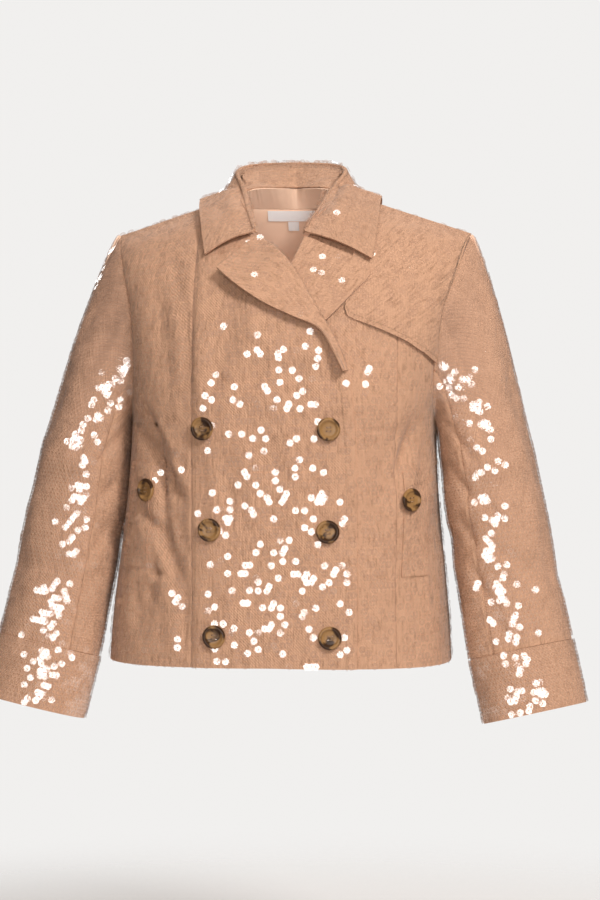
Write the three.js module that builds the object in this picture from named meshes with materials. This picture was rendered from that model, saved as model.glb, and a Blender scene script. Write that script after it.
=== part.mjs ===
// Cropped double-breasted jacket in sequined cloth, filled out with no wearer.
// Millimetres. The front faces -Y and +Z is up. The origin lies between the shoulders, where they carry it.
// "Left" and "right" are as seen from the front, so left is -X.
import * as THREE from 'three';
import { mergeVertices } from 'three/addons/utils/BufferGeometryUtils.js';

// Cloth and clearances
const clothThickness = 2;
const liningThickness = 1.2;
const seamGap = 0.3;
const restGap = 0.8;          // clear space under a piece that lies on another

// Fronts
const overlapLift = 3;        // the top front over the front underneath
const lapelLift = 6.5;        // more lift where the top front crosses the lapel underneath
const princessLeft = -95;     // seam between front centre and side, at the front
const princessRight = 124;
const underEdge = -75;        // front edge of the front underneath

// Buttons
const buttonRadius = 12.5;
const buttonHeight = 4.6;

// Pocket welts
const weltWidth = 34;
const weltLength = 112;
const weltInner = 138;        // inner edge from the middle of the body

// Sleeves and cuffs
const sleeveMiddle = -4.5;     // middle line between the two sleeves
const capRings = [0, 0.07, 0.16, 0.3, 0.48, 0.72, 1];
const cuffLift = 1;

const cloth = { color: 0xbe9173, roughness: 0.45, metalness: 0 };
const satin = { color: 0xdeb491, roughness: 0.35, metalness: 0 };
const horn = { color: 0x7a5532, roughness: 0.25, metalness: 0 };
const woven = { color: 0xf2ede4, roughness: 0.7, metalness: 0 };

// One row for each level of the body, from the hem (0) over the underarm (5) to the shoulder seam (11)
const torsoRows = [
  { middleZ: -474, sideZ: -476, centre: -10, half: 188, front: 116, back: 108, depthY: 0 },
  { middleZ: -425, sideZ: -425, centre: -9.5, half: 184.5, front: 115, back: 105, depthY: 0 },
  { middleZ: -370, sideZ: -370, centre: -8.5, half: 178.5, front: 114, back: 102, depthY: 0 },
  { middleZ: -312, sideZ: -312, centre: -7.5, half: 172, front: 114, back: 99, depthY: 0 },
  { middleZ: -260, sideZ: -260, centre: -6.5, half: 168, front: 115, back: 99, depthY: 0 },
  { middleZ: -218, sideZ: -218, centre: -5.5, half: 167, front: 117, back: 101, depthY: 0 },
  { middleZ: -178, sideZ: -180, centre: -4, half: 170, front: 118, back: 103, depthY: 0 },
  { middleZ: -132, sideZ: -136, centre: -2.5, half: 175, front: 114, back: 104, depthY: 2 },
  { middleZ: -82, sideZ: -92, centre: -0.5, half: 182, front: 103, back: 103, depthY: 4 },
  { middleZ: -34, sideZ: -56, centre: 1.5, half: 192, front: 80, back: 96, depthY: 6 },
  { middleZ: 14, sideZ: -29, centre: 3, half: 196, front: 46, back: 76, depthY: 8 },
  { middleZ: 52, sideZ: -12, centre: 4, half: 193.5, front: 0, back: 0, depthY: 10 },
];
const underarmLevel = 5;
const shoulderLevel = 11;
const roundness = 2.6;
const armholeSpan = 28;       // how far round the body the armhole reaches forwards and backwards, degrees
const neckFloor = 10.6;       // level of the lowest point of the back neck

// Largest folds of the body: soft troughs between two points seen from the front or back
const bodyFolds = [
  { face: 'front', fromX: -156, fromZ: -212, toX: -108, toZ: -300, width: 13, depth: 5 },
  { face: 'front', fromX: -150, fromZ: -238, toX: -118, toZ: -345, width: 12, depth: 4 },
  { face: 'front', fromX: -128, fromZ: -330, toX: -104, toZ: -395, width: 12, depth: 3 },
  { face: 'front', fromX: -150, fromZ: -370, toX: -146, toZ: -440, width: 12, depth: 3.5 },
  { face: 'front', fromX: 150, fromZ: -205, toX: 118, toZ: -285, width: 13, depth: 4 },
  { face: 'front', fromX: 132, fromZ: -330, toX: 128, toZ: -450, width: 14, depth: 2.5 },
  { face: 'front', fromX: -140, fromZ: -70, toX: -120, toZ: -170, width: 15, depth: 3 },
  { face: 'back', fromX: -150, fromZ: -205, toX: -95, toZ: -320, width: 14, depth: 4.5 },
  { face: 'back', fromX: 146, fromZ: -200, toX: 100, toZ: -300, width: 14, depth: 4 },
  { face: 'back', fromX: -62, fromZ: -300, toX: -70, toZ: -470, width: 15, depth: 3 },
  { face: 'back', fromX: 54, fromZ: -330, toX: 66, toZ: -470, width: 15, depth: 3 },
];

// Sleeve rings below the cap. Reach is the distance of the ring's centre from the sleeves' middle line
const sleeveRows = [
  { z: -262, reach: 222.5, y: 0, half: 50.5, depth: 60 },
  { z: -317, reach: 231, y: -6, half: 54, depth: 56 },
  { z: -381, reach: 243, y: -16, half: 54, depth: 50 },
  { z: -424, reach: 251.5, y: -23, half: 55, depth: 46 },
  { z: -462, reach: 259.5, y: -29, half: 56, depth: 43.5 },
  { z: -529, reach: 275, y: -38, half: 55.5, depth: 41 },
];
const cuffRow = 4;
const sleeveRoundness = 2.25;
const frontSeamSteps = 8;     // ring points from the top of the sleeve to its front seam, of twelve a half
const backSeamSteps = 8;
const halfSteps = 12;

// Largest folds of the sleeves. Angle 0 is the outer side and 90 the front; station 0 is the armhole
const sleeveFolds = [
  { angle: 30, station: 0.75, angleWidth: 40, width: 0.16, depth: 3.5 },
  { angle: 80, station: 1.5, angleWidth: 55, width: 0.3, depth: 3 },
  { angle: 150, station: 2.3, angleWidth: 60, width: 0.28, depth: 4 },
  { angle: 60, station: 3.1, angleWidth: 50, width: 0.3, depth: 3 },
  { angle: 250, station: 1.9, angleWidth: 60, width: 0.3, depth: 4 },
  { angle: 300, station: 3.2, angleWidth: 50, width: 0.3, depth: 3 },
];

// Front edge of the top front: neck, roll of the lapel, break and overlap, from the shoulder down
const topEdge = [
  { z: 29, x: -68 }, { z: 10, x: -53 }, { z: -14, x: -32 }, { z: -29, x: -13 }, { z: -54, x: 9.6 },
  { z: -86, x: 31 }, { z: -113, x: 49.3 }, { z: -151, x: 69.4 }, { z: -202, x: 78 }, { z: -300, x: 81 }, { z: -480, x: 82 },
];
// Front edge of the front underneath
const lowEdge = [
  { z: 29, x: 68 }, { z: 10, x: 47 }, { z: -14, x: 25 }, { z: -48, x: 11 }, { z: -75, x: -5 },
  { z: -107, x: -30 }, { z: -151, x: -58 }, { z: -202, x: underEdge }, { z: -480, x: underEdge },
];

// Lapels, from the gorge to the break: the roll line and the outer edge. An edge stands off the body
const leftLapelStand = 20;
const rightLapelStand = 6.4;
const leftLapelRows = [
  { rollX: -31, rollZ: -16, edgeX: -66, edgeZ: -58 },
  { rollX: -12, rollZ: -30, edgeX: -45, edgeZ: -74 },
  { rollX: 9.6, rollZ: -54, edgeX: -18, edgeZ: -90 },
  { rollX: 31, rollZ: -86, edgeX: 14, edgeZ: -104 },
  { rollX: 49, rollZ: -113, edgeX: 42, edgeZ: -116 },
  { rollX: 62, rollZ: -138, edgeX: 57, edgeZ: -139 },
  { rollX: 69, rollZ: -158, edgeX: 67, edgeZ: -158.5 },
];
const rightLapelRows = [
  { rollX: 24, rollZ: -17, edgeX: 91, edgeZ: -47 },
  { rollX: 17, rollZ: -35, edgeX: 92, edgeZ: -59 },
  { rollX: 10, rollZ: -50, edgeX: 76, edgeZ: -77 },
  { rollX: 2, rollZ: -64, edgeX: 60, edgeZ: -94 },
  { rollX: -6, rollZ: -77, edgeX: 47, edgeZ: -107 },
];

// Collar stations from the left end round the back to the right end
const collarRows = [
  { seamX: -30, seamZ: -15, rollX: -33, rollY: -60, rollZ: -5, edgeX: -83, edgeZ: -39, bulge: 4 },
  { seamX: -43, seamZ: 3, rollX: -42, rollY: -30, rollZ: 16, edgeX: -91, edgeZ: -8, bulge: 4 },
  { seamX: -55, seamZ: 20, rollX: -52, rollY: 8, rollZ: 40, edgeX: -97, edgeZ: 12, bulge: -1 },
  { seamX: -56, seamZ: 31, rollX: -62, rollY: 36, rollZ: 61, edgeX: -93, edgeZ: 10, bulge: -4 },
  { seamX: -38, seamZ: 37, rollX: -46, rollY: 57, rollZ: 69, edgeX: -56, edgeZ: 8, bulge: 4 },
  { seamX: 0, seamZ: 38, rollX: -3, rollY: 64, rollZ: 71, edgeX: 0, edgeZ: 8, bulge: 6 },
  { seamX: 38, seamZ: 37, rollX: 42, rollY: 57, rollZ: 69, edgeX: 56, edgeZ: 8, bulge: 4 },
  { seamX: 57, seamZ: 31, rollX: 58, rollY: 36, rollZ: 61, edgeX: 93, edgeZ: 10, bulge: -4 },
  { seamX: 53, seamZ: 20, rollX: 45, rollY: 8, rollZ: 40, edgeX: 97, edgeZ: 10, bulge: -1 },
  { seamX: 37, seamZ: 3, rollX: 33, rollY: -30, rollZ: 16, edgeX: 97, edgeZ: -14, bulge: 4 },
  { seamX: 20, seamZ: -15, rollX: 22, rollY: -61, rollZ: -5, edgeX: 94, edgeZ: -43, bulge: 4 },
];

// Lower edge of the storm flap, from its rounded corner to the armhole
const flapInner = 68;
const flapEdge = [
  { x: 68, z: -92 }, { x: 71, z: -100 }, { x: 78, z: -104 }, { x: 107, z: -115 },
  { x: 130, z: -126 }, { x: 150, z: -140 }, { x: 162, z: -152 },
];

const buttonPlaces = [
  { name: 'button_left_top', x: -81, z: -219 }, { name: 'button_left_middle', x: -74, z: -327 },
  { name: 'button_left_low', x: -69, z: -441 }, { name: 'button_right_top', x: 52, z: -219 },
  { name: 'button_right_middle', x: 51, z: -328 }, { name: 'button_right_low', x: 53.5, z: -441 },
];
const pocketButtonPlaces = [
  { name: 'pocket_button_left', x: -145, z: -287, rise: 1.8 },
  { name: 'pocket_button_right', x: 135, z: -296, rise: 0.6 },
];

const radians = THREE.MathUtils.degToRad;
const mix = THREE.MathUtils.lerp;

// Soft step from 0 to 1 between two values, in either order
function smooth(from, to, value) {
  const share = Math.min(Math.max((value - from) / (to - from), 0), 1);
  return share * share * (3 - 2 * share);
}

// Value of one column of a table at a fractional row, on a smooth curve through the rows
function columnAt(rows, column, level) {
  const last = rows.length - 1;
  const row = Math.min(Math.max(Math.floor(level), 0), last - 1);
  const part = level - row;
  const before = row > 0 ? rows[row - 1][column] : 2 * rows[0][column] - rows[1][column];
  const after = row < last - 1 ? rows[row + 2][column] : 2 * rows[last][column] - rows[last - 1][column];
  const start = rows[row][column];
  const end = rows[row + 1][column];
  const startSlope = (end - before) / 2;
  const endSlope = (after - start) / 2;
  const part2 = part * part;
  const part3 = part2 * part;
  return start * (2 * part3 - 3 * part2 + 1) + startSlope * (part3 - 2 * part2 + part)
    + end * (3 * part2 - 2 * part3) + endSlope * (part3 - part2);
}

// Value of one column where another column, rising or falling, has a given value
function lookUp(rows, from, value, to) {
  const rising = rows[rows.length - 1][from] > rows[0][from];
  let row = 0;
  while (row < rows.length - 2 && (rising ? rows[row + 1][from] < value : rows[row + 1][from] > value)) row += 1;
  const part = (value - rows[row][from]) / (rows[row + 1][from] - rows[row][from]);
  return columnAt(rows, to, row + Math.min(Math.max(part, 0), 1));
}

// Distance of a point from a fold's line, as a share of its width, faded at the ends
function foldShare(fold, x, z) {
  const alongX = fold.toX - fold.fromX;
  const alongZ = fold.toZ - fold.fromZ;
  const length2 = alongX * alongX + alongZ * alongZ;
  const share = ((x - fold.fromX) * alongX + (z - fold.fromZ) * alongZ) / length2;
  const nearest = Math.min(Math.max(share, 0), 1);
  const away = Math.hypot(x - fold.fromX - nearest * alongX, z - fold.fromZ - nearest * alongZ);
  return Math.exp(-((away / fold.width) ** 2)) * (0.35 + 0.65 * Math.sin(Math.PI * nearest));
}

// Body surface without folds: angle 0 is the middle and 90 the side, with the sign of x
function plainTorso(face, angle, level) {
  const turn = radians(angle);
  const across = Math.sin(turn);
  const deep = Math.cos(turn);
  const reach = (Math.abs(across) ** roundness + Math.abs(deep) ** roundness) ** (-1 / roundness);
  const half = columnAt(torsoRows, 'half', level);
  const middleZ = columnAt(torsoRows, 'middleZ', level);
  const sideZ = columnAt(torsoRows, 'sideZ', level);
  const way = face === 'front' ? -1 : 1;
  return new THREE.Vector3(
    columnAt(torsoRows, 'centre', level) + half * reach * across,
    columnAt(torsoRows, 'depthY', level) + way * columnAt(torsoRows, face, level) * reach * deep,
    mix(middleZ, sideZ, Math.abs(reach * across)),
  );
}

// Outward normal of a surface given by two values, from short steps along both
function normalOf(surface, first, second, firstStep, secondStep) {
  const alongFirst = surface(first + firstStep, second).sub(surface(first - firstStep, second));
  const alongSecond = surface(first, second + secondStep).sub(surface(first, second - secondStep));
  return alongFirst.cross(alongSecond).normalize();
}

function plainNormal(face, angle, level) {
  const way = face === 'front' ? 1 : -1;
  const inside = Math.min(level, shoulderLevel - 0.05);
  const normal = normalOf((a, l) => plainTorso(face, a, l), angle, inside, 0.5, 0.02).multiplyScalar(way);
  return normal;
}

// Normal used for a wall's thickness, shared by both faces at the shoulder seam
function wallNormal(face, angle, level) {
  const normal = plainNormal(face, angle, level);
  const shared = smooth(shoulderLevel - 0.7, shoulderLevel - 0.01, level);
  if (shared === 0) return normal;
  const other = plainNormal(face === 'front' ? 'back' : 'front', angle, level);
  return normal.addScaledVector(other, shared).normalize();
}

function torso(face, angle, level, lift = 0) {
  const point = plainTorso(face, angle, level);
  let trough = 0;
  for (const fold of bodyFolds) {
    if (fold.face === face) trough += fold.depth * foldShare(fold, point.x, point.z);
  }
  trough *= smooth(90, 78, Math.abs(angle)) * smooth(shoulderLevel, shoulderLevel - 1, level);
  if (level > shoulderLevel - 0.01) point.y += (face === 'front' ? -1 : 1) * seamGap / 2;
  return point.addScaledVector(wallNormal(face, angle, level), lift - trough);
}

// Angle whose point at a level has a given x
function angleForX(x, level) {
  const share = (x - columnAt(torsoRows, 'centre', level)) / columnAt(torsoRows, 'half', level);
  const size = Math.min(Math.abs(share), 0.9999);
  return Math.sign(share) * THREE.MathUtils.radToDeg(Math.atan2(size, (1 - size ** roundness) ** (1 / roundness)));
}

// Level at which the surface has a given x and z
function levelFor(x, z) {
  let low = 0;
  let high = shoulderLevel;
  for (let step = 0; step < 30; step += 1) {
    const level = (low + high) / 2;
    const share = Math.abs(x - columnAt(torsoRows, 'centre', level)) / columnAt(torsoRows, 'half', level);
    const height = mix(columnAt(torsoRows, 'middleZ', level), columnAt(torsoRows, 'sideZ', level), share);
    if (height < z) low = level;
    else high = level;
  }
  return (low + high) / 2;
}

// Point of the body at an x and z seen from the front or back, moved out by a lift
function panelPoint(face, x, z, lift) {
  const level = levelFor(x, z);
  return torso(face, angleForX(x, level), level, lift);
}

// Angle of the armhole edge at a level
function armholeAngle(level) {
  if (level <= underarmLevel) return 90;
  const round = Math.acos(1 - 2 * (level - underarmLevel) / (shoulderLevel - underarmLevel));
  return 90 - armholeSpan * Math.sin(round) ** 0.8;
}

function armholeLevel(step) {
  return underarmLevel + (shoulderLevel - underarmLevel) * (1 - Math.cos(Math.PI * step / halfSteps)) / 2;
}

// Angle at which a level meets an edge that is given as x by z
function angleAtEdge(edge, level) {
  let x = lookUp(edge, 'z', columnAt(torsoRows, 'middleZ', level), 'x');
  for (let step = 0; step < 12; step += 1) {
    const share = Math.abs(x - columnAt(torsoRows, 'centre', level)) / columnAt(torsoRows, 'half', level);
    const height = mix(columnAt(torsoRows, 'middleZ', level), columnAt(torsoRows, 'sideZ', level), share);
    x = mix(x, lookUp(edge, 'z', height, 'x'), 0.6);
  }
  return angleForX(x, level);
}

const bodyLevels = [0, 0.8, 1.6, 2.4, 3.2, 4.1];
for (let step = 0; step <= halfSteps; step += 1) bodyLevels.push(armholeLevel(step));

// Closed wall from two grids of points, the seen face and the hidden one
function wallMesh(name, seen, hidden, finish, round = false) {
  const rows = seen.length;
  const columns = seen[0].length;
  const positions = [];
  for (const grid of [seen, hidden]) {
    for (const row of grid) for (const point of row) positions.push(point.x, point.y, point.z);
  }
  const index = (layer, row, column) => layer * rows * columns + row * columns + (column % columns);
  const faces = [];
  const quad = (a, b, c, d) => faces.push(a, b, c, a, c, d);
  const lastColumn = round ? columns : columns - 1;
  for (let row = 0; row < rows - 1; row += 1) {
    for (let column = 0; column < lastColumn; column += 1) {
      quad(index(0, row, column), index(0, row, column + 1), index(0, row + 1, column + 1), index(0, row + 1, column));
      quad(index(1, row, column), index(1, row + 1, column), index(1, row + 1, column + 1), index(1, row, column + 1));
    }
  }
  for (let column = 0; column < lastColumn; column += 1) {
    quad(index(1, 0, column), index(1, 0, column + 1), index(0, 0, column + 1), index(0, 0, column));
    const row = rows - 1;
    quad(index(0, row, column), index(0, row, column + 1), index(1, row, column + 1), index(1, row, column));
  }
  if (!round) {
    for (let row = 0; row < rows - 1; row += 1) {
      quad(index(0, row, 0), index(0, row + 1, 0), index(1, row + 1, 0), index(1, row, 0));
      const column = columns - 1;
      quad(index(1, row, column), index(1, row + 1, column), index(0, row + 1, column), index(0, row, column));
    }
  }
  const geometry = new THREE.BufferGeometry();
  geometry.setAttribute('position', new THREE.Float32BufferAttribute(positions, 3));
  geometry.setIndex(faces);
  return meshOf(name, outwards(geometry), finish);
}

// Turns every face of a closed shape outwards where its volume comes out negative
function outwards(geometry) {
  const position = geometry.attributes.position;
  const index = geometry.index.array;
  const corners = [new THREE.Vector3(), new THREE.Vector3(), new THREE.Vector3()];
  let volume = 0;
  for (let face = 0; face < index.length; face += 3) {
    corners.forEach((corner, place) => corner.fromBufferAttribute(position, index[face + place]));
    volume += corners[0].dot(corners[1].clone().cross(corners[2]));
  }
  if (volume > 0) return geometry;
  const turned = [];
  for (let face = 0; face < index.length; face += 3) turned.push(index[face], index[face + 2], index[face + 1]);
  geometry.setIndex(turned);
  return geometry;
}

function meshOf(name, geometry, finish) {
  geometry.computeVertexNormals();
  const mesh = new THREE.Mesh(geometry, new THREE.MeshStandardMaterial(finish));
  mesh.name = name;
  return mesh;
}

// Wall on the body between two edges, each an angle by level. lift is a value or a function of x and z
function bodyPanel(name, face, levels, startAngle, endAngle, columns, lift, finish, thickness = clothThickness) {
  const seen = [];
  const hidden = [];
  for (const level of levels) {
    const start = startAngle(level);
    const end = endAngle(level);
    const seenRow = [];
    const hiddenRow = [];
    for (let column = 0; column <= columns; column += 1) {
      const angle = mix(start, end, column / columns);
      const base = plainTorso(face, angle, level);
      const out = typeof lift === 'function' ? lift(base.x, base.z) : lift;
      seenRow.push(torso(face, angle, level, out));
      hiddenRow.push(torso(face, angle, level, out - thickness));
    }
    seen.push(seenRow);
    hidden.push(hiddenRow);
  }
  return wallMesh(name, seen, hidden, finish);
}

// Small turn round the body that leaves half a seam gap
function seamTurn(level) {
  return THREE.MathUtils.radToDeg(seamGap / 2 / columnAt(torsoRows, 'half', level)) * 1.15;
}

// How far the top front stands off the body at a place
function topLift(x, z) {
  const over = smooth(underEdge - 30, underEdge - 6, x) * smooth(-4, -40, z);
  const crossing = smooth(-165, -132, z) * smooth(-20, -42, z) * smooth(-56, -26, x);
  return overlapLift * over + lapelLift * crossing;
}

function princessAngle(x, level) {
  const side = Math.sign(x);
  const easing = level > 8 ? (level - 8) / 3 : 0;
  return Math.min(Math.abs(angleForX(x, level)), armholeAngle(level) - 12 + 4 * easing) * side;
}

function frontPanels() {
  const pieces = [];
  const hold = (level) => seamTurn(level);
  pieces.push(bodyPanel('front_centre_left', 'front', bodyLevels,
    (level) => princessAngle(princessLeft, level) + hold(level),
    (level) => angleAtEdge(topEdge, level), 12, topLift, cloth));
  pieces.push(bodyPanel('front_side_left', 'front', bodyLevels,
    (level) => -armholeAngle(level) + hold(level),
    (level) => princessAngle(princessLeft, level) - hold(level), 6, topLift, cloth));
  pieces.push(bodyPanel('front_centre_right', 'front', bodyLevels,
    (level) => angleAtEdge(lowEdge, level),
    (level) => princessAngle(princessRight, level) - hold(level), 12, 0, cloth));
  pieces.push(bodyPanel('front_side_right', 'front', bodyLevels,
    (level) => princessAngle(princessRight, level) + hold(level),
    (level) => armholeAngle(level) - hold(level), 5, 0, cloth));
  return pieces;
}

// Angle of the back neck edge at a level
function backNeckAngle(level) {
  if (level <= neckFloor) return 0;
  const share = (level - neckFloor) / (shoulderLevel - neckFloor);
  return angleForX(4 + 64 * Math.sqrt(share), level);
}

function backPanels() {
  const left = (level) => -armholeAngle(level) + seamTurn(level);
  const right = (level) => armholeAngle(level) - seamTurn(level);
  return [
    bodyPanel('back_left', 'back', bodyLevels, left,
      (level) => -backNeckAngle(level) - seamTurn(level), 9, 0, cloth),
    bodyPanel('back_right', 'back', bodyLevels,
      (level) => backNeckAngle(level) + seamTurn(level), right, 9, 0, cloth),
  ];
}

// Armhole point for a ring angle in degrees: 0 at the shoulder tip, 90 at the front, 180 underneath
function armholeAt(side, ring) {
  const turn = ((ring % 360) + 360) % 360;
  const face = turn <= 180 ? 'front' : 'back';
  const level = armholeLevel(halfSteps * (1 - (turn <= 180 ? turn : 360 - turn) / 180));
  const angle = side * armholeAngle(level);
  return { face, level, angle, point: plainTorso(face, angle, level), normal: wallNormal(face, angle, level) };
}

// Direction along the armhole edge, and the direction across it away from the body
function armholeNext(side, ring) {
  return armholeAt(side, ring + 4).point.sub(armholeAt(side, ring - 4).point).normalize();
}

function armholeAway(side, ring) {
  return armholeNext(side, ring).cross(armholeAt(side, ring).normal).multiplyScalar(-side).normalize();
}

// Centre and directions of a sleeve ring at a fractional row
function ringFrame(side, row) {
  const at = (place) => new THREE.Vector3(
    sleeveMiddle + side * columnAt(sleeveRows, 'reach', place),
    columnAt(sleeveRows, 'y', place),
    columnAt(sleeveRows, 'z', place),
  );
  const centre = at(row);
  const along = at(row + 0.05).sub(at(row - 0.05)).normalize();
  const outer = new THREE.Vector3(0, 1, 0).cross(along).multiplyScalar(-side).normalize();
  const forward = along.clone().cross(outer).multiplyScalar(side).normalize();
  return { centre, along, outer, forward };
}

function ringPoint(side, ring, row) {
  const frame = ringFrame(side, row);
  const turn = radians(ring);
  const across = Math.cos(turn);
  const deep = Math.sin(turn);
  const reach = (Math.abs(across) ** sleeveRoundness + Math.abs(deep) ** sleeveRoundness) ** (-1 / sleeveRoundness);
  return frame.centre
    .addScaledVector(frame.outer, columnAt(sleeveRows, 'half', row) * reach * across)
    .addScaledVector(frame.forward, columnAt(sleeveRows, 'depth', row) * reach * deep);
}

// Sleeve surface without folds. Station 0 is the armhole, 1 the first full ring, then one a row
function plainSleeve(side, ring, station) {
  if (station >= 1) return ringPoint(side, ring, station - 1);
  const start = armholeAt(side, ring);
  const away = armholeAway(side, ring).addScaledVector(start.normal, 0.45).normalize();
  const low = (1 - Math.cos(radians(ring))) / 2;
  const side90 = Math.abs(Math.sin(radians(ring)));
  const startPull = mix(46, 12, low) + 10 * side90;
  const endPull = mix(118, 48, low);
  const end = ringPoint(side, ring, 0);
  const along = ringFrame(side, 0).along;
  const s2 = station * station;
  const s3 = s2 * station;
  return start.point.clone().multiplyScalar(2 * s3 - 3 * s2 + 1)
    .addScaledVector(away, startPull * (s3 - 2 * s2 + station))
    .addScaledVector(end, 3 * s2 - 2 * s3)
    .addScaledVector(along, endPull * (s3 - s2));
}

function sleeveNormal(side, ring, station) {
  const place = Math.max(station, 0.02);
  return normalOf((r, s) => plainSleeve(side, r, s), ring, place, 1, 0.015).multiplyScalar(side);
}

function sleeve(side, ring, station, lift) {
  const normal = sleeveNormal(side, ring, station);
  let trough = 0;
  for (const fold of sleeveFolds) {
    const turn = ((ring - fold.angle + 540) % 360) - 180;
    trough += fold.depth * Math.exp(-((turn / fold.angleWidth) ** 2) - ((station - fold.station) / fold.width) ** 2);
  }
  return plainSleeve(side, ring, station).addScaledVector(normal, lift - trough * smooth(0, 0.4, station));
}

// Wall of a sleeve piece between two ring steps; a round piece closes on itself
function sleevePiece(name, side, firstStep, lastStep, stations, lift, round = false) {
  const stepAngle = 180 / halfSteps;
  const seen = [];
  const hidden = [];
  for (const station of stations) {
    const seenRow = [];
    const hiddenRow = [];
    for (let step = firstStep; step <= lastStep - (round ? 1 : 0); step += 1) {
      const turn = !round && step === firstStep ? 0.15 : !round && step === lastStep ? -0.15 : 0;
      const ring = step * stepAngle + turn * 1.2;
      if (station === 0) {
        const seam = armholeAt(side, step * stepAngle);
        const start = seam.point.clone().addScaledVector(armholeAway(side, ring), 1.5 * seamGap);
        start.addScaledVector(armholeNext(side, ring), turn);
        seenRow.push(start);
        hiddenRow.push(start.clone().addScaledVector(seam.normal, -clothThickness));
      } else {
        seenRow.push(sleeve(side, ring, station, lift));
        hiddenRow.push(sleeve(side, ring, station, lift - clothThickness));
      }
    }
    seen.push(seenRow);
    hidden.push(hiddenRow);
  }
  return wallMesh(name, seen, hidden, cloth, round);
}

function sleevePieces() {
  const pieces = [];
  const cuffStation = cuffRow + 1;
  const lowStations = [1.4, 1.8, 2.2, 2.6, 3, 3.5, 4, 4.5, cuffStation - 0.012];
  const stations = [...capRings, ...lowStations];
  for (const side of [-1, 1]) {
    const word = side < 0 ? 'left' : 'right';
    pieces.push(sleevePiece(`upper_sleeve_${word}`, side, -backSeamSteps, frontSeamSteps, stations, 0));
    pieces.push(sleevePiece(`under_sleeve_${word}`, side, frontSeamSteps, 2 * halfSteps - backSeamSteps, stations, 0));
    pieces.push(sleevePiece(`cuff_${word}`, side, 0, 2 * halfSteps,
      [cuffStation, cuffStation + 0.33, cuffStation + 0.66, cuffStation + 1], cuffLift, true));
  }
  return pieces;
}

const collarLift = 9.2;       // seen face of the collar over the body
const neckMiddle = new THREE.Vector3(-3, 5, 0);

// Height of the body's upper side over a place seen from above
function surfaceHeight(x, y) {
  const face = y < columnAt(torsoRows, 'depthY', shoulderLevel) ? 'front' : 'back';
  const way = face === 'front' ? -1 : 1;
  let low = underarmLevel;
  let high = shoulderLevel;
  const shareAt = (level) => {
    const share = Math.abs(x - columnAt(torsoRows, 'centre', level)) / columnAt(torsoRows, 'half', level);
    return Math.min(share, 0.999);
  };
  for (let step = 0; step < 30; step += 1) {
    const level = (low + high) / 2;
    const deep = columnAt(torsoRows, face, level) * (1 - shareAt(level) ** roundness) ** (1 / roundness);
    if (way * (columnAt(torsoRows, 'depthY', level) + way * deep - y) > 0) low = level;
    else high = level;
  }
  return mix(columnAt(torsoRows, 'middleZ', low), columnAt(torsoRows, 'sideZ', low), shareAt(low));
}

// Point of the body near the shoulder seam, blended between its front and back
function shoulderPoint(x, z, row, lift) {
  const fromEnd = Math.min(row, collarRows.length - 1 - row);
  return panelPoint('front', x, z, lift).lerp(panelPoint('back', x, z, lift), smooth(2, 3, fromEnd));
}

// Foot of the collar's stand at a row, with the roll above it and the way out from the neck
function collarFoot(row) {
  const column = (name) => columnAt(collarRows, name, row);
  const roll = new THREE.Vector3(column('rollX'), column('rollY'), column('rollZ'));
  const out = new THREE.Vector3(roll.x - neckMiddle.x, roll.y - neckMiddle.y, 0).normalize();
  const foot = shoulderPoint(column('seamX'), column('seamZ'), row, 0).addScaledVector(out, -2.5);
  foot.z += 4.2;
  return { foot, roll, out };
}

// Collar: the stand rises inside the neck, rolls over and falls outside
function collar() {
  const stations = 30;
  const up = new THREE.Vector3(0, 0, 1);
  const turnOver = [
    { out: -3.6, down: 4 }, { out: -2.4, down: 1 }, { out: 0, down: 0 }, { out: 2.4, down: 1 }, { out: 4, down: 4 },
  ];
  const seen = [];
  for (let station = 0; station <= stations; station += 1) {
    const row = (collarRows.length - 1) * station / stations;
    const column = (name) => columnAt(collarRows, name, row);
    const { foot, roll, out } = collarFoot(row);
    const over = turnOver.map((step) => roll.clone().addScaledVector(out, step.out).addScaledVector(up, -step.down));
    const profile = [foot, foot.clone().lerp(over[0], 0.5), ...over];
    const edge = shoulderPoint(column('edgeX'), column('edgeZ'), row, collarLift);
    for (const share of [0.25, 0.5, 0.75, 1]) {
      const point = over[over.length - 1].clone().lerp(edge, share);
      const bulge = column('bulge') * Math.sin(Math.PI * share);
      point.addScaledVector(out, bulge * 0.5).addScaledVector(up, bulge * 0.8);
      point.z = Math.max(point.z, surfaceHeight(point.x, point.y) + collarLift * 1.3);
      profile.push(point);
    }
    seen.push(profile);
  }
  return wallMesh('collar', seen, hiddenFrom(seen, -clothThickness), cloth);
}

// Lapel from its roll line to its outer edge, lying on the front
function lapel(name, rows, turn, underLift, edgeLift) {
  const steps = 2 * (rows.length - 1);
  const across = [
    { out: 1.2, share: 0, rise: 0.4 }, { out: 3, share: 0, rise: 2.4 }, { out: 1.6, share: 0, rise: 4.4 },
    { out: 0, share: 0.12, rise: 4.8 }, { out: 0, share: 0.4, rise: 4.8 }, { out: 0, share: 0.7, rise: 4.8 },
    { out: 0, share: 1, rise: 4.8 },
  ];
  const seen = [];
  for (let step = 0; step <= steps; step += 1) {
    const row = step / 2;
    const rollX = columnAt(rows, 'rollX', row);
    const rollZ = columnAt(rows, 'rollZ', row);
    const edgeX = columnAt(rows, 'edgeX', row);
    const edgeZ = columnAt(rows, 'edgeZ', row);
    seen.push(across.map(({ out, share, rise }) => {
      const x = mix(rollX, edgeX, share) + turn * out;
      const z = mix(rollZ, edgeZ, share);
      const base = underLift(rollX, rollZ);
      const height = mix(base + rise, edgeLift, share ** 1.5);
      const clear = share > 0 ? underLift(x, z) + clothThickness + restGap : 0;
      return panelPoint('front', x, z, Math.max(height, clear));
    }));
  }
  const hidden = hiddenFrom(seen, clothThickness * turn);
  return wallMesh(name, seen, hidden, cloth);
}

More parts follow.
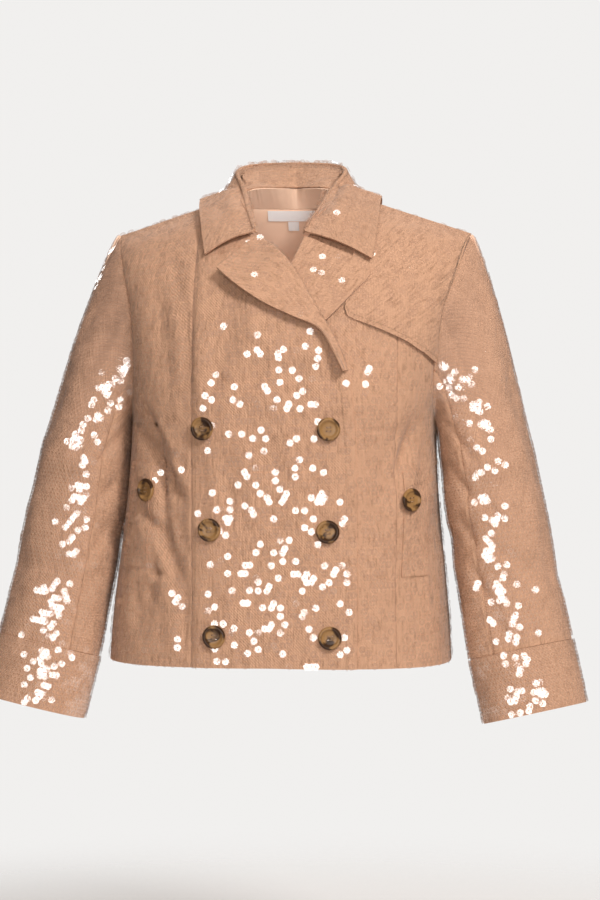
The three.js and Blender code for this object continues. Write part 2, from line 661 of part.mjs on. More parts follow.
// Hidden face of a grid: its points moved in along the grid's own normals
function hiddenFrom(seen, thickness) {
  const lastRow = seen.length - 1;
  const lastPlace = seen[0].length - 1;
  return seen.map((row, rowIndex) => row.map((point, place) => {
    const before = seen[Math.max(rowIndex - 1, 0)][place];
    const after = seen[Math.min(rowIndex + 1, lastRow)][place];
    const inner = row[Math.max(place - 1, 0)];
    const outer = row[Math.min(place + 1, lastPlace)];
    const normal = after.clone().sub(before).cross(outer.clone().sub(inner)).normalize();
    return point.clone().addScaledVector(normal, thickness);
  }));
}

// Storm flap on the right front, from its lower edge up to the shoulder seam
function stormFlap() {
  const columns = 10;
  const rows = 8;
  const seen = [];
  const hidden = [];
  for (let row = 0; row <= rows; row += 1) {
    const share = row / rows;
    const seenRow = [];
    const hiddenRow = [];
    for (let column = 0; column <= columns; column += 1) {
      const along = column / columns;
      const x = mix(flapInner, 162, along ** 1.1);
      const lowLevel = levelFor(x, lookUp(flapEdge, 'x', x, 'z'));
      const level = mix(lowLevel, shoulderLevel - 0.06, share);
      const lowAngle = angleForX(x, lowLevel);
      const topAngle = mix(angleForX(flapInner + 4, level), armholeAngle(level) - 2, along);
      const angle = Math.min(mix(lowAngle, topAngle, share), armholeAngle(level) - 1);
      const lift = restGap + clothThickness + 1.6 * smooth(0.4, 0, share) * smooth(84, 104, x);
      seenRow.push(torso('front', angle, level, lift));
      hiddenRow.push(torso('front', angle, level, lift - clothThickness));
    }
    seen.push(seenRow);
    hidden.push(hiddenRow);
  }
  return wallMesh('storm_flap', seen, hidden, cloth);
}

// Pocket welt on the side of a front
function pocketWelt(side) {
  const rows = 7;
  const columns = 3;
  const top = side < 0 ? -258 : -266;
  const seen = [];
  const hidden = [];
  for (let row = 0; row <= rows; row += 1) {
    const z = top - weltLength * row / rows;
    const level = levelFor(0, z);
    const start = Math.abs(angleForX(columnAt(torsoRows, 'centre', level) + weltInner, level));
    const turn = THREE.MathUtils.radToDeg(weltWidth / 130);
    const seenRow = [];
    const hiddenRow = [];
    for (let column = 0; column <= columns; column += 1) {
      const angle = side * (start + turn * column / columns);
      const lift = restGap + clothThickness;
      seenRow.push(torso('front', angle, level, lift));
      hiddenRow.push(torso('front', angle, level, lift - clothThickness));
    }
    seen.push(seenRow);
    hidden.push(hiddenRow);
  }
  return wallMesh(side < 0 ? 'pocket_welt_left' : 'pocket_welt_right', seen, hidden, cloth);
}

// Turned button with a raised rim and a dished middle
function buttonMesh(name, radius, place, normal) {
  const profile = [
    [0, 0], [radius * 0.82, 0], [radius, buttonHeight * 0.45], [radius * 0.95, buttonHeight * 0.9],
    [radius * 0.84, buttonHeight], [radius * 0.66, buttonHeight * 0.62], [0, buttonHeight * 0.5],
  ].map(([x, y]) => new THREE.Vector2(x, y));
  const geometry = new THREE.LatheGeometry(profile, 18);
  geometry.deleteAttribute('uv');
  geometry.deleteAttribute('normal');
  const mesh = meshOf(name, withoutThinFaces(mergeVertices(geometry, 1e-3)), horn);
  mesh.position.copy(place);
  mesh.quaternion.setFromUnitVectors(new THREE.Vector3(0, 1, 0), normal);
  return mesh;
}

// Drops the faces that merging has closed up at a lathe's two poles
function withoutThinFaces(geometry) {
  const index = geometry.index.array;
  const kept = [];
  for (let face = 0; face < index.length; face += 3) {
    const [a, b, c] = [index[face], index[face + 1], index[face + 2]];
    if (a !== b && b !== c && c !== a) kept.push(a, b, c);
  }
  geometry.setIndex(kept);
  return outwards(geometry);
}

function buttons() {
  const pieces = [];
  const normalAt = (x, z) => {
    const level = levelFor(x, z);
    return plainNormal('front', angleForX(x, level), level);
  };
  for (const { name, x, z } of buttonPlaces) {
    const lift = topLift(x, z) + restGap;
    pieces.push(buttonMesh(name, buttonRadius, panelPoint('front', x, z, lift), normalAt(x, z)));
  }
  for (const { name, x, z, rise } of pocketButtonPlaces) {
    const lift = restGap + clothThickness + rise;
    pieces.push(buttonMesh(name, buttonRadius, panelPoint('front', x, z, lift), normalAt(x, z)));
  }
  return pieces;
}

// Satin inside the back neck. A facing with small gathers hangs from the foot of the collar to a level seam.
// The lining hangs from the seam, free of the back, and reaches it at liningMeets
const liningHalf = 60;
const liningSeamZ = 18.4;
const liningMeets = -50;
const liningHeights = [liningSeamZ - 2 * seamGap, 5, -6, -24, liningMeets, -85, -120];
const liningSetBack = 6;      // clear of the back panels lower down
const liningShape = 1.15;
const seamPlaceY = 46;        // the seam in the middle of the back
const seamBend = 28;          // how far forward the seam comes at its two ends
const facingReach = 1.75;     // collar rows on each side of the middle that the facing hangs from
const facingDrop = 2.2;       // top of the facing under the foot of the collar
const gatherCount = 14;
const gatherDepth = 0.9;

// Point of the lining's seen face below the seam, across from -1 to 1
function liningPoint(across, z) {
  const x = liningHalf * across;
  const seamY = seamPlaceY - seamBend * across ** 2;
  if (z <= liningMeets) return panelPoint('back', x, z, -liningSetBack);
  const meets = panelPoint('back', x, liningMeets, -liningSetBack);
  const share = ((liningSeamZ - z) / (liningSeamZ - liningMeets)) ** liningShape;
  return new THREE.Vector3(mix(x, meets.x, share), mix(seamY, meets.y, share), z);
}

function neckFacing() {
  const columns = 2 * gatherCount;
  const seen = [];
  for (const drop of [1, 0.55, 0]) {
    const row = [];
    for (let column = 0; column <= columns; column += 1) {
      const across = 2 * column / columns - 1;
      const { foot, out } = collarFoot((collarRows.length - 1) / 2 + facingReach * across);
      foot.addScaledVector(out, -liningThickness).z -= facingDrop;
      const point = foot.lerp(liningPoint(across, liningSeamZ), drop);
      point.y += (column % 2) * gatherDepth * (1 - drop);
      row.push(point);
    }
    seen.push(row);
  }
  return wallMesh('neck_facing', seen, hiddenFrom(seen, liningThickness), satin);
}

function backLining() {
  const columns = 10;
  const seen = [];
  for (const z of liningHeights.toReversed()) {
    const row = [];
    for (let column = 0; column <= columns; column += 1) row.push(liningPoint(2 * column / columns - 1, z));
    seen.push(row);
  }
  return wallMesh('back_lining', seen, hiddenFrom(seen, liningThickness), satin);
}

// Bare woven label with a small size tab, lying on the lining below its seam
function neckLabel(name, centreX, width, topZ, bottomZ) {
  const columns = 4;
  const labelLift = 0.6;
  const labelThickness = 0.6;
  const seen = [];
  const hidden = [];
  for (const z of [bottomZ, topZ]) {
    const seenRow = [];
    const hiddenRow = [];
    for (let column = 0; column <= columns; column += 1) {
      const point = liningPoint((centreX + width * (column / columns - 0.5)) / liningHalf, z);
      hiddenRow.push(new THREE.Vector3(point.x, point.y - labelLift, point.z));
      seenRow.push(new THREE.Vector3(point.x, point.y - labelLift - labelThickness, point.z));
    }
    seen.push(seenRow);
    hidden.push(hiddenRow);
  }
  return wallMesh(name, seen, hidden, woven);
}

const group = new THREE.Group();
group.add(...frontPanels());
group.add(...backPanels());
group.add(...sleevePieces());
group.add(collar());
group.add(lapel('lapel_left', leftLapelRows, 1, topLift, leftLapelStand));
group.add(lapel('lapel_right', rightLapelRows, -1, () => 0, rightLapelStand));
group.add(stormFlap());
group.add(pocketWelt(-1));
group.add(pocketWelt(1));
group.add(...buttons());
group.add(neckFacing());
group.add(backLining());
group.add(neckLabel('neck_label', -2.9, 52, 16.2, 5));
group.add(neckLabel('size_tab', -1.5, 11.8, 4.4, -5.2));

export default group;
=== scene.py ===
import math

import bmesh
import bpy
import numpy as np
from mathutils import Matrix, Vector


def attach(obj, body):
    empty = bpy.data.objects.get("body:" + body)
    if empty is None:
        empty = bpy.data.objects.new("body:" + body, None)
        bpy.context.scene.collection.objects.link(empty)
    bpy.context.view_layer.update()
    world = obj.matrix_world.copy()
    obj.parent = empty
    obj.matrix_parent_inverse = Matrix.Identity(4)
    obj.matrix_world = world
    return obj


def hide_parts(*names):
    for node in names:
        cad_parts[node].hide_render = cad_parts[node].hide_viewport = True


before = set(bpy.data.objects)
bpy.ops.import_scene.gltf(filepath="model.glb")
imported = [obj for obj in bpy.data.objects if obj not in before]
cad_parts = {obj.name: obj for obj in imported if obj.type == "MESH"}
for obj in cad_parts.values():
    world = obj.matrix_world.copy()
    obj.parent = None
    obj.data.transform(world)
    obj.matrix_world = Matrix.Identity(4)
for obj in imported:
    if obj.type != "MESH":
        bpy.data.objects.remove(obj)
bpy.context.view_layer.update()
nodeNames = set(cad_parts)
print("frame loaded,", len(nodeNames), "solids")

mm = 0.001   # the tables below are in millimetres, like the pattern

# What a user would change about the cloth
cloth = {"thickness": 2.0, "turnedThickness": 1.8, "liningThickness": 1.2, "restGap": 0.8,
         "seamGap": 0.3, "seamRoll": 1.1, "seamRollWidth": 1.7}
fronts = {
    "overlapLift": 3.0, "lapelLift": 6.5, "seamLeftX": -95.0, "seamRightX": 124.0, "underEdgeX": -75.0,
    "leftLapelStand": 20.0, "rightLapelStand": 6.4,
}


def table(names, rows):
    return {name: np.array(values, float) for name, values in zip(names.split(), zip(*rows))}


# One row for each level of the body, from the hem (0) over the underarm (5) to the shoulder seam (11)
torsoRows = table("middleZ sideZ centre half front back depthY", [
    (-474, -476, -10, 188, 116, 108, 0),
    (-425, -425, -9.5, 184.5, 115, 105, 0),
    (-370, -370, -8.5, 178.5, 114, 102, 0),
    (-312, -312, -7.5, 172, 114, 99, 0),
    (-260, -260, -6.5, 168, 115, 99, 0),
    (-218, -218, -5.5, 167, 117, 101, 0),
    (-178, -180, -4, 170, 118, 103, 0),
    (-132, -136, -2.5, 175, 114, 104, 2),
    (-82, -92, -0.5, 182, 103, 103, 4),
    (-34, -56, 1.5, 192, 80, 96, 6),
    (14, -29, 3, 196, 46, 76, 8),
    (52, -12, 4, 193.5, 0, 0, 10),
])
body = {"underarm": 5.0, "shoulder": 11.0, "roundness": 2.6, "armholeSpan": 28.0, "neckFloor": 10.6}

# Creases seen from the front or back: a line between two points, with its width and depth
frontCreases = table("fromX fromZ toX toZ width depth", [
    (-156, -212, -108, -300, 11.7, 6.8), (-150, -238, -118, -345, 10.8, 5.4),
    (-128, -330, -104, -395, 10.8, 4.1),
    (-150, -370, -146, -440, 10.8, 4.7), (150, -205, 118, -285, 13, 5.4), (132, -330, 128, -450, 14, 3.4),
    (-140, -70, -120, -170, 15, 3),
    (-163, -222, -132, -262, 4.5, 3.9), (-146, -216, -104, -262, 5.4, 3.6), (-140, -255, -126, -306, 4.5, 3.9),
    (-158, -282, -146, -334, 5.4, 3.6), (-132, -300, -122, -352, 4.5, 3.4), (-118, -350, -112, -398, 5.4, 3.1),
    (-142, -344, -136, -398, 4.5, 3.6), (-160, -392, -158, -446, 6.3, 3.4), (-131, -404, -129, -462, 6.3, 2.7),
    (-106, -414, -104, -468, 7.2, 2.2), (-84, -240, -80, -330, 9, 1.6), (-56, -252, -54, -352, 9, 1.4),
    (-34, -352, -32, -462, 10, 1.4), (-8, -236, -6, -344, 9, 1.3), (14, -330, 16, -458, 10, 1.4),
    (36, -250, 38, -318, 8, 1.4), (-62, -120, -70, -196, 11, 1.8), (-24, -128, -30, -200, 11, 1.6),
    (20, -148, 14, -206, 10, 1.6), (-104, -84, -102, -180, 10, 1.8), (-122, -30, -112, -92, 9, 2.2),
    (96, -118, 92, -196, 9, 2.2), (112, -204, 108, -300, 8, 2.7), (94, -228, 92, -330, 8, 2.2),
    (98, -352, 96, -452, 9, 2.2), (112, -372, 114, -462, 7, 1.9), (141, -212, 128, -262, 5, 3.6),
    (152, -238, 146, -296, 6, 3), (146, -384, 148, -452, 8, 3), (161, -300, 158, -372, 7, 2.7),
    (124, -36, 120, -92, 9, 2.7), (146, -62, 136, -118, 8, 3), (88, -30, 84, -76, 9, 1.9),
    (-149, -202, -133, -231, 5.4, 5.4), (-131, -217, -103, -284, 6.3, -3.8), (-124, -252, -115, -298, 4, 4.3),
    (-111, -281, -106, -300, 3.6, 3), (-138, -236, -130, -295, 4.5, 4.9), (-152, -313, -124, -340, 6.3, 5.7),
    (-138, -334, -120, -362, 5.4, 4.9), (-149, -369, -127, -380, 4.5, 4.3), (-146, -390, -141, -408, 4.5, 4.1),
    (-138, -30, -122, -178, 10, 2.6), (-101, -83, -98, -205, 6, 1.7), (98, -136, 94, -199, 5, -2.4),
    (-112, -306, -102, -352, 4.5, 2.7), (-104, -376, -100, -440, 5.4, 2.4), (88, -221, 117, -222, 3.5, 1.2),
    (-40, -204, -8, -262, 12, 1.4), (22, -214, 44, -290, 10, 1.3), (-58, -270, -30, -330, 10, 1.3),
    (104, -240, 118, -330, 9, 2.2), (132, -212, 116, -244, 6, 3), (140, -226, 124, -282, 6, 2.7),
])
backCreases = table("fromX fromZ toX toZ width depth", [
    (-150, -205, -95, -320, 14, 5.9), (146, -200, 100, -300, 14, 5.2), (-62, -300, -70, -470, 15, 3.9),
    (54, -330, 66, -470, 15, 3.9),
    (-158, -216, -128, -266, 6, 3.5), (-138, -222, -96, -272, 6, 3.1), (-126, -262, -108, -330, 6, 2.9),
    (-150, -300, -144, -372, 7, 2.9), (-118, -352, -112, -442, 8, 2.6), (-90, -300, -88, -396, 8, 2),
    (-34, -120, -30, -230, 11, 2), (-24, -300, -22, -420, 10, 1.8), (32, -140, 30, -246, 11, 2),
    (26, -360, 24, -462, 9, 2), (92, -250, 88, -362, 8, 2.2), (118, -330, 114, -430, 8, 2.6),
    (150, -214, 122, -262, 6, 3.5), (136, -240, 112, -290, 6, 2.9), (148, -330, 142, -410, 7, 2.9),
    (-130, -60, -110, -150, 13, 3.8), (128, -64, 112, -150, 13, 3.5), (84, -60, 74, -130, 10, 2.2),
    (-80, -50, -72, -124, 10, 2.2), (-144, -400, -140, -462, 8, 2.5), (96, -396, 98, -464, 8, 2.2),
])

# Sleeve rings below the cap. Reach is the distance of the ring's centre from the sleeves' middle line
sleeveRows = table("z reach y half depth", [
    (-262, 222.5, 0, 50.5, 60), (-317, 231, -6, 54, 56), (-381, 243, -16, 54, 50),
    (-424, 251.5, -23, 55, 46), (-462, 259.5, -29, 56, 43.5), (-529, 275, -38, 55.5, 41),
])
sleeves = {"middleX": -4.5, "roundness": 2.25, "seamTurn": 120.0, "cuffStation": 5.0, "cuffLift": 1.0}

# Large folds at ring angles (0 outer side, 90 front, 180 underneath) and stations (0 armhole, 1 first ring)
sleeveFolds = table("angle station angleWidth width depth", [
    (30, 0.75, 40, 0.16, 3.5), (80, 1.5, 55, 0.3, 3), (150, 2.3, 60, 0.28, 4),
    (60, 3.1, 50, 0.3, 3), (250, 1.9, 60, 0.3, 4), (300, 3.2, 50, 0.3, 3),
])
# Finer creases of the sleeves, from one ring angle and height to another
sleeveCreases = table("fromAngle fromZ toAngle toZ width depth", [
    (112, -70, 88, -138, 7, 2.9), (84, -96, 66, -164, 8, 2.5), (128, -150, 104, -196, 6, 2.9),
    (60, -60, 44, -118, 9, 2.2), (36, -134, 30, -214, 10, 2.0), (96, -188, 78, -252, 8, 2.7),
    (132, -212, 100, -262, 6, 3.1), (72, -226, 44, -266, 8, 2.2), (20, -214, 12, -300, 10, 1.8),
    (138, -262, 112, -300, 6, 3.1), (106, -292, 76, -326, 7, 2.7), (60, -288, 52, -354, 9, 2.0),
    (134, -316, 116, -352, 6, 2.9), (100, -346, 64, -366, 7, 2.5), (36, -330, 30, -404, 10, 1.8),
    (130, -364, 110, -412, 6, 2.7), (90, -380, 62, -404, 7, 2.2), (110, -416, 100, -450, 6, 2.3),
    (72, -414, 66, -452, 8, 2.0), (8, -380, 4, -446, 9, 1.6),
    (250, -80, 274, -150, 8, 2.7), (284, -110, 300, -178, 9, 2.3), (232, -150, 262, -200, 7, 3.1),
    (300, -200, 322, -262, 9, 2.0), (228, -220, 262, -262, 7, 3.2), (264, -262, 300, -292, 8, 2.5),
    (226, -290, 250, -330, 7, 2.9), (280, -330, 312, -350, 8, 2.3), (236, -360, 268, -392, 7, 2.7),
    (300, -380, 316, -440, 9, 2.0), (246, -410, 262, -450, 7, 2.3), (336, -300, 340, -390, 10, 1.6),
])

# Front edges by height: the top front (neck, lapel roll, overlap) and the front underneath
topEdge = table("z x", [
    (29, -68), (10, -53), (-14, -32), (-29, -13), (-54, 9.6), (-86, 31), (-113, 49.3), (-151, 69.4),
    (-202, 78), (-300, 81), (-480, 82),
])
lowEdge = table("z x", [
    (29, 68), (10, 47), (-14, 25), (-48, 11), (-75, -5), (-107, -30), (-151, -58), (-202, -75), (-480, -75),
])
leftLapelRows = table("rollX rollZ edgeX edgeZ", [
    (-31, -16, -66, -58), (-12, -30, -45, -74), (9.6, -54, -18, -90), (31, -86, 14, -104),
    (49, -113, 42, -116), (62, -138, 57, -139), (69, -158, 67, -158.5),
])
rightLapelRows = table("rollX rollZ edgeX edgeZ", [
    (24, -17, 91, -47), (17, -35, 92, -59), (10, -50, 76, -77), (2, -64, 60, -94), (-6, -77, 47, -107),
])
# Collar from the left end round the back to the right end
collarRows = table("seamX seamZ rollX rollY rollZ edgeX edgeZ bulge", [
    (-30, -15, -33, -60, -5, -83, -39, 4), (-43, 3, -42, -30, 16, -91, -8, 4),
    (-55, 20, -52, 8, 40, -97, 12, -1), (-56, 31, -62, 36, 61, -93, 10, -4),
    (-38, 37, -46, 57, 69, -56, 8, 4), (0, 38, -3, 64, 71, 0, 8, 6),
    (38, 37, 42, 57, 69, 56, 8, 4), (57, 31, 58, 36, 61, 93, 10, -4),
    (53, 20, 45, 8, 40, 97, 10, -1), (37, 3, 33, -30, 16, 97, -14, 4),
    (20, -15, 22, -61, -5, 94, -43, 4),
])
flapEdge = table("x z", [
    (68, -92), (71, -100), (78, -104), (107, -115), (130, -126), (150, -140), (162, -152),
])
buttonPlaces = {
    "button_left_top": (-81, -219), "button_left_middle": (-74, -327), "button_left_low": (-69, -441),
    "button_right_top": (52, -219), "button_right_middle": (51, -328), "button_right_low": (53.5, -441),
}
pocketButtonPlaces = {"pocket_button_left": (-145, -287, 1.8), "pocket_button_right": (135, -296, 0.6)}


def smooth(start, end, value):
    share = np.clip((value - start) / (end - start), 0, 1)
    return share * share * (3 - 2 * share)


def mix(a, b, share):
    return a + (b - a) * share


def unit(vectors):
    return vectors / np.maximum(np.linalg.norm(vectors, axis=-1, keepdims=True), 1e-12)


# Value of a table's column at a fractional row, on a smooth curve through the rows
def columnAt(rows, name, level):
    values = rows[name]
    level = np.asarray(level, float)
    last = len(values) - 1
    row = np.clip(np.floor(level).astype(int), 0, last - 1)
    part = level - row
    before = np.where(row > 0, values[np.maximum(row - 1, 0)], 2 * values[0] - values[1])
    after = np.where(row < last - 1, values[np.minimum(row + 2, last)], 2 * values[last] - values[last - 1])
    start, end = values[row], values[row + 1]
    startSlope, endSlope = (end - before) / 2, (after - start) / 2
    part2, part3 = part ** 2, part ** 3
    return (start * (2 * part3 - 3 * part2 + 1) + startSlope * (part3 - 2 * part2 + part)
            + end * (3 * part2 - 2 * part3) + endSlope * (part3 - part2))


# Value of one column where another column has a given value
def lookUp(rows, known, value, wanted):
    sign = 1 if rows[known][-1] > rows[known][0] else -1
    rising = rows[known] * sign
    row = np.clip(np.searchsorted(rising, np.asarray(value) * sign) - 1, 0, len(rising) - 2)
    part = np.clip((np.asarray(value) * sign - rising[row]) / (rising[row + 1] - rising[row]), 0, 1)
    return columnAt(rows, wanted, row + part)


# Depth of all creases at points given by two coordinates; those shallower than 2.4 have a soft ridge along one
# side
def creaseDepth(creases, names, across, along):
    total = np.zeros(np.broadcast(across, along).shape)
    fromA, fromB, toA, toB = [creases[name] for name in names]
    for index in range(len(fromA)):
        stepA, stepB = toA[index] - fromA[index], toB[index] - fromB[index]
        length = math.hypot(stepA, stepB)
        awayA, awayB = across - fromA[index], along - fromB[index]
        share = (awayA * stepA + awayB * stepB) / length ** 2
        nearest = np.clip(share, 0, 1)
        beside = (awayA * stepB - awayB * stepA) / length
        beyond = (share - nearest) * length
        width = creases["width"][index]
        away2 = beside ** 2 + beyond ** 2
        trough = np.exp(-away2 / width ** 2)
        ridge = np.exp(-((beside - 1.8 * width) ** 2 + beyond ** 2) / width ** 2)
        ridgeShare = 0.3 if creases["depth"][index] < 2.4 else 0
        fade = 0.35 + 0.65 * np.sin(np.pi * nearest)
        total += creases["depth"][index] * (trough - ridgeShare * ridge) * fade
    return total


def plainTorso(face, angle, level):
    turn = np.radians(angle)
    across, deep = np.sin(turn), np.cos(turn)
    power = body["roundness"]
    reach = (np.abs(across) ** power + np.abs(deep) ** power) ** (-1 / power)
    way = -1 if face == "front" else 1
    x = columnAt(torsoRows, "centre", level) + columnAt(torsoRows, "half", level) * reach * across
    y = columnAt(torsoRows, "depthY", level) + way * columnAt(torsoRows, face, level) * reach * deep
    z = mix(columnAt(torsoRows, "middleZ", level), columnAt(torsoRows, "sideZ", level), np.abs(reach * across))
    return np.stack(np.broadcast_arrays(x, y, z), -1)


def plainNormal(face, angle, level):
    level = np.minimum(level, body["shoulder"] - 0.05)
    alongAngle = plainTorso(face, angle + 0.5, level) - plainTorso(face, angle - 0.5, level)
    alongLevel = plainTorso(face, angle, level + 0.02) - plainTorso(face, angle, level - 0.02)
    return unit(np.cross(alongAngle, alongLevel)) * (1 if face == "front" else -1)


# Both faces share their normal at the shoulder seam
def wallNormal(face, angle, level):
    normal = plainNormal(face, angle, level)
    other = plainNormal("back" if face == "front" else "front", angle, level)
    shared = smooth(body["shoulder"] - 0.7, body["shoulder"] - 0.01, level)
    return unit(normal + other * np.asarray(shared)[..., None])


def torso(face, angle, level, lift=0.0):
    angle, level = np.broadcast_arrays(np.asarray(angle, float), np.asarray(level, float))
    point = plainTorso(face, angle, level)
    creases = frontCreases if face == "front" else backCreases
    trough = creaseDepth(creases, ("fromX", "fromZ", "toX", "toZ"), point[..., 0], point[..., 2])
    trough = trough * smooth(90, 78, np.abs(angle)) * smooth(body["shoulder"], body["shoulder"] - 1, level)
    point[..., 1] += np.where(level > body["shoulder"] - 0.01, 1, 0) * (-0.15 if face == "front" else 0.15)
    return point + wallNormal(face, angle, level) * (np.asarray(lift) - trough)[..., None]


def angleForX(x, level):
    share = (x - columnAt(torsoRows, "centre", level)) / columnAt(torsoRows, "half", level)
    size = np.minimum(np.abs(share), 0.9999)
    power = body["roundness"]
    return np.sign(share) * np.degrees(np.arctan2(size, (1 - size ** power) ** (1 / power)))


def heightAt(x, level):
    share = np.abs(x - columnAt(torsoRows, "centre", level)) / columnAt(torsoRows, "half", level)
    return mix(columnAt(torsoRows, "middleZ", level), columnAt(torsoRows, "sideZ", level), share)


def levelFor(x, z):
    x, z = np.broadcast_arrays(np.asarray(x, float), np.asarray(z, float))
    low, high = np.zeros(x.shape), np.full(x.shape, body["shoulder"])
    for _ in range(26):
        level = (low + high) / 2
        under = heightAt(x, level) < z
        low, high = np.where(under, level, low), np.where(under, high, level)
    return (low + high) / 2


def panelPoint(face, x, z, lift):
    level = levelFor(x, z)
    return torso(face, angleForX(x, level), level, lift)


def armholeAngle(level):
    under, top = body["underarm"], body["shoulder"]
    share = np.clip((np.asarray(level, float) - under) / (top - under), 0, 1)
    return 90 - body["armholeSpan"] * np.sin(np.arccos(1 - 2 * share)) ** 0.8


def armholeLevel(share):
    return body["underarm"] + (body["shoulder"] - body["underarm"]) * (1 - np.cos(np.pi * share)) / 2


def angleAtEdge(edge, level):
    x = lookUp(edge, "z", columnAt(torsoRows, "middleZ", level), "x")
    for _ in range(12):
        x = mix(x, lookUp(edge, "z", heightAt(x, level), "x"), 0.6)
    return angleForX(x, level)


def princessAngle(x, level):
    easing = np.where(level > 8, (level - 8) / 3, 0)
    return np.minimum(np.abs(angleForX(x, level)), armholeAngle(level) - 12 + 4 * easing) * np.sign(x)


def topLift(x, z):
    edge = fronts["underEdgeX"]
    over = smooth(edge - 30, edge - 6, x) * smooth(-4, -40, z)
    crossing = smooth(-165, -132, z) * smooth(-20, -42, z) * smooth(-56, -26, x)
    return fronts["overlapLift"] * over + fronts["lapelLift"] * crossing


# Shares across a panel, closer together at its two edges
def edgeShares(columns):
    return np.concatenate([[0, 0.007, 0.016], np.linspace(0.03, 0.97, columns - 4), [0.984, 0.993, 1]])


# How far cloth turns in beside a seam
def seamRoll(distance):
    return cloth["seamRoll"] * np.exp(-(distance / cloth["seamRollWidth"]) ** 2)


# Levels without those that follow too closely, so that no row of faces is a sliver
def spaced(levels, least=0.016):
    kept = [levels[0]]
    for level in levels[1:]:
        if level - kept[-1] >= least:
            kept.append(level)
    kept[-1] = levels[-1]
    return np.array(kept)


# Body panel between two edges: the seen face and the hidden one
def bodyPanel(face, startAngle, endAngle, columns, lift):
    levels = spaced(np.concatenate([
        np.linspace(0, 4.1, 84), np.linspace(4.1, 5, 20)[1:], armholeLevel(np.linspace(0, 1, 72))[1:],
    ]))
    share = edgeShares(columns)
    start, end = startAngle(levels), endAngle(levels)
    angle = start[:, None] + (end - start)[:, None] * share
    level = np.broadcast_to(levels[:, None], angle.shape)
    base = plainTorso(face, angle, level)
    out = lift(base[..., 0], base[..., 2]) if callable(lift) else np.full(angle.shape, float(lift))
    width = np.radians(np.abs(end - start))[:, None] * columnAt(torsoRows, "half", level)
    out = out - seamRoll(np.minimum(share, 1 - share) * width)
    return torso(face, angle, level, out), torso(face, angle, level, out - cloth["thickness"])


def seamTurn(level):
    return np.degrees(cloth["seamGap"] / 2 / columnAt(torsoRows, "half", level)) * 1.15


def bodyGrids():
    left, right = fronts["seamLeftX"], fronts["seamRightX"]
    neck = body["neckFloor"]

    def backNeck(level):
        share = np.clip((level - neck) / (body["shoulder"] - neck), 0, 1)
        return np.where(level > neck, angleForX(4 + 64 * np.sqrt(share), level), 0)

    return {
        "front_centre_left": bodyPanel(
            "front", lambda v: princessAngle(left, v) + seamTurn(v),
            lambda v: angleAtEdge(topEdge, v), 46, topLift),
        "front_side_left": bodyPanel(
            "front", lambda v: -armholeAngle(v) + seamTurn(v), lambda v: princessAngle(left, v) - seamTurn(v),
            44, topLift),
        "front_centre_right": bodyPanel(
            "front", lambda v: angleAtEdge(lowEdge, v), lambda v: princessAngle(right, v) - seamTurn(v), 50, 0),
        "front_side_right": bodyPanel(
            "front", lambda v: princessAngle(right, v) + seamTurn(v),
            lambda v: armholeAngle(v) - seamTurn(v), 40, 0),
        "back_left": bodyPanel(
            "back", lambda v: -armholeAngle(v) + seamTurn(v), lambda v: -backNeck(v) - seamTurn(v), 56, 0),
        "back_right": bodyPanel(
            "back", lambda v: backNeck(v) + seamTurn(v), lambda v: armholeAngle(v) - seamTurn(v), 56, 0),
    }


# Armhole point at a ring angle: 0 at the shoulder tip, 90 at the front, 180 underneath
def armholeAt(side, ring):
    turn = np.mod(ring, 360)
    level = armholeLevel(1 - np.where(turn <= 180, turn, 360 - turn) / 180)
    angle = side * armholeAngle(level)
    isFront = (turn <= 180)[..., None]
    point = np.where(isFront, plainTorso("front", angle, level), plainTorso("back", angle, level))
    normal = np.where(isFront, wallNormal("front", angle, level), wallNormal("back", angle, level))
    return point, normal


def armholeWays(side, ring):
    onward = unit(armholeAt(side, ring + 4)[0] - armholeAt(side, ring - 4)[0])
    return onward, unit(np.cross(onward, armholeAt(side, ring)[1]) * -side)


def ringFrame(side, row):
    def at(place):
        return np.stack([
            sleeves["middleX"] + side * columnAt(sleeveRows, "reach", place),
            columnAt(sleeveRows, "y", place), columnAt(sleeveRows, "z", place)], -1)
    along = unit(at(row + 0.05) - at(row - 0.05))
    outer = unit(np.cross(np.array([0.0, 1.0, 0.0]), along) * -side)
    return at(row), along, outer, unit(np.cross(along, outer) * side)


def ringPoint(side, ring, row):
    centre, _, outer, forward = ringFrame(side, row)
    turn, power = np.radians(ring), sleeves["roundness"]
    across, deep = np.cos(turn), np.sin(turn)
    reach = (np.abs(across) ** power + np.abs(deep) ** power) ** (-1 / power)
    return (centre + outer * (columnAt(sleeveRows, "half", row) * reach * across)[..., None]
            + forward * (columnAt(sleeveRows, "depth", row) * reach * deep)[..., None])


# Station 0 is the armhole, 1 the first full ring, then one a row
def plainSleeve(side, ring, station):
    ring, station = np.broadcast_arrays(np.asarray(ring, float), np.asarray(station, float))
    lower = ringPoint(side, ring, np.maximum(station - 1, 0))
    start, normal = armholeAt(side, ring)
    away = unit(armholeWays(side, ring)[1] + normal * 0.45)
    low = (1 - np.cos(np.radians(ring))) / 2
    startPull = mix(46, 12, low) + 10 * np.abs(np.sin(np.radians(ring)))
    endPull = mix(118, 48, low)
    s = np.minimum(station, 1)
    weights = (2 * s ** 3 - 3 * s ** 2 + 1, startPull * (s ** 3 - 2 * s ** 2 + s),
               3 * s ** 2 - 2 * s ** 3, endPull * (s ** 3 - s ** 2))
    along = ringFrame(side, np.zeros(ring.shape))[1]
    parts = (start, away, ringPoint(side, ring, np.zeros(ring.shape)), along)
    upper = sum(part * weight[..., None] for part, weight in zip(parts, weights))
    return np.where((station >= 1)[..., None], lower, upper)


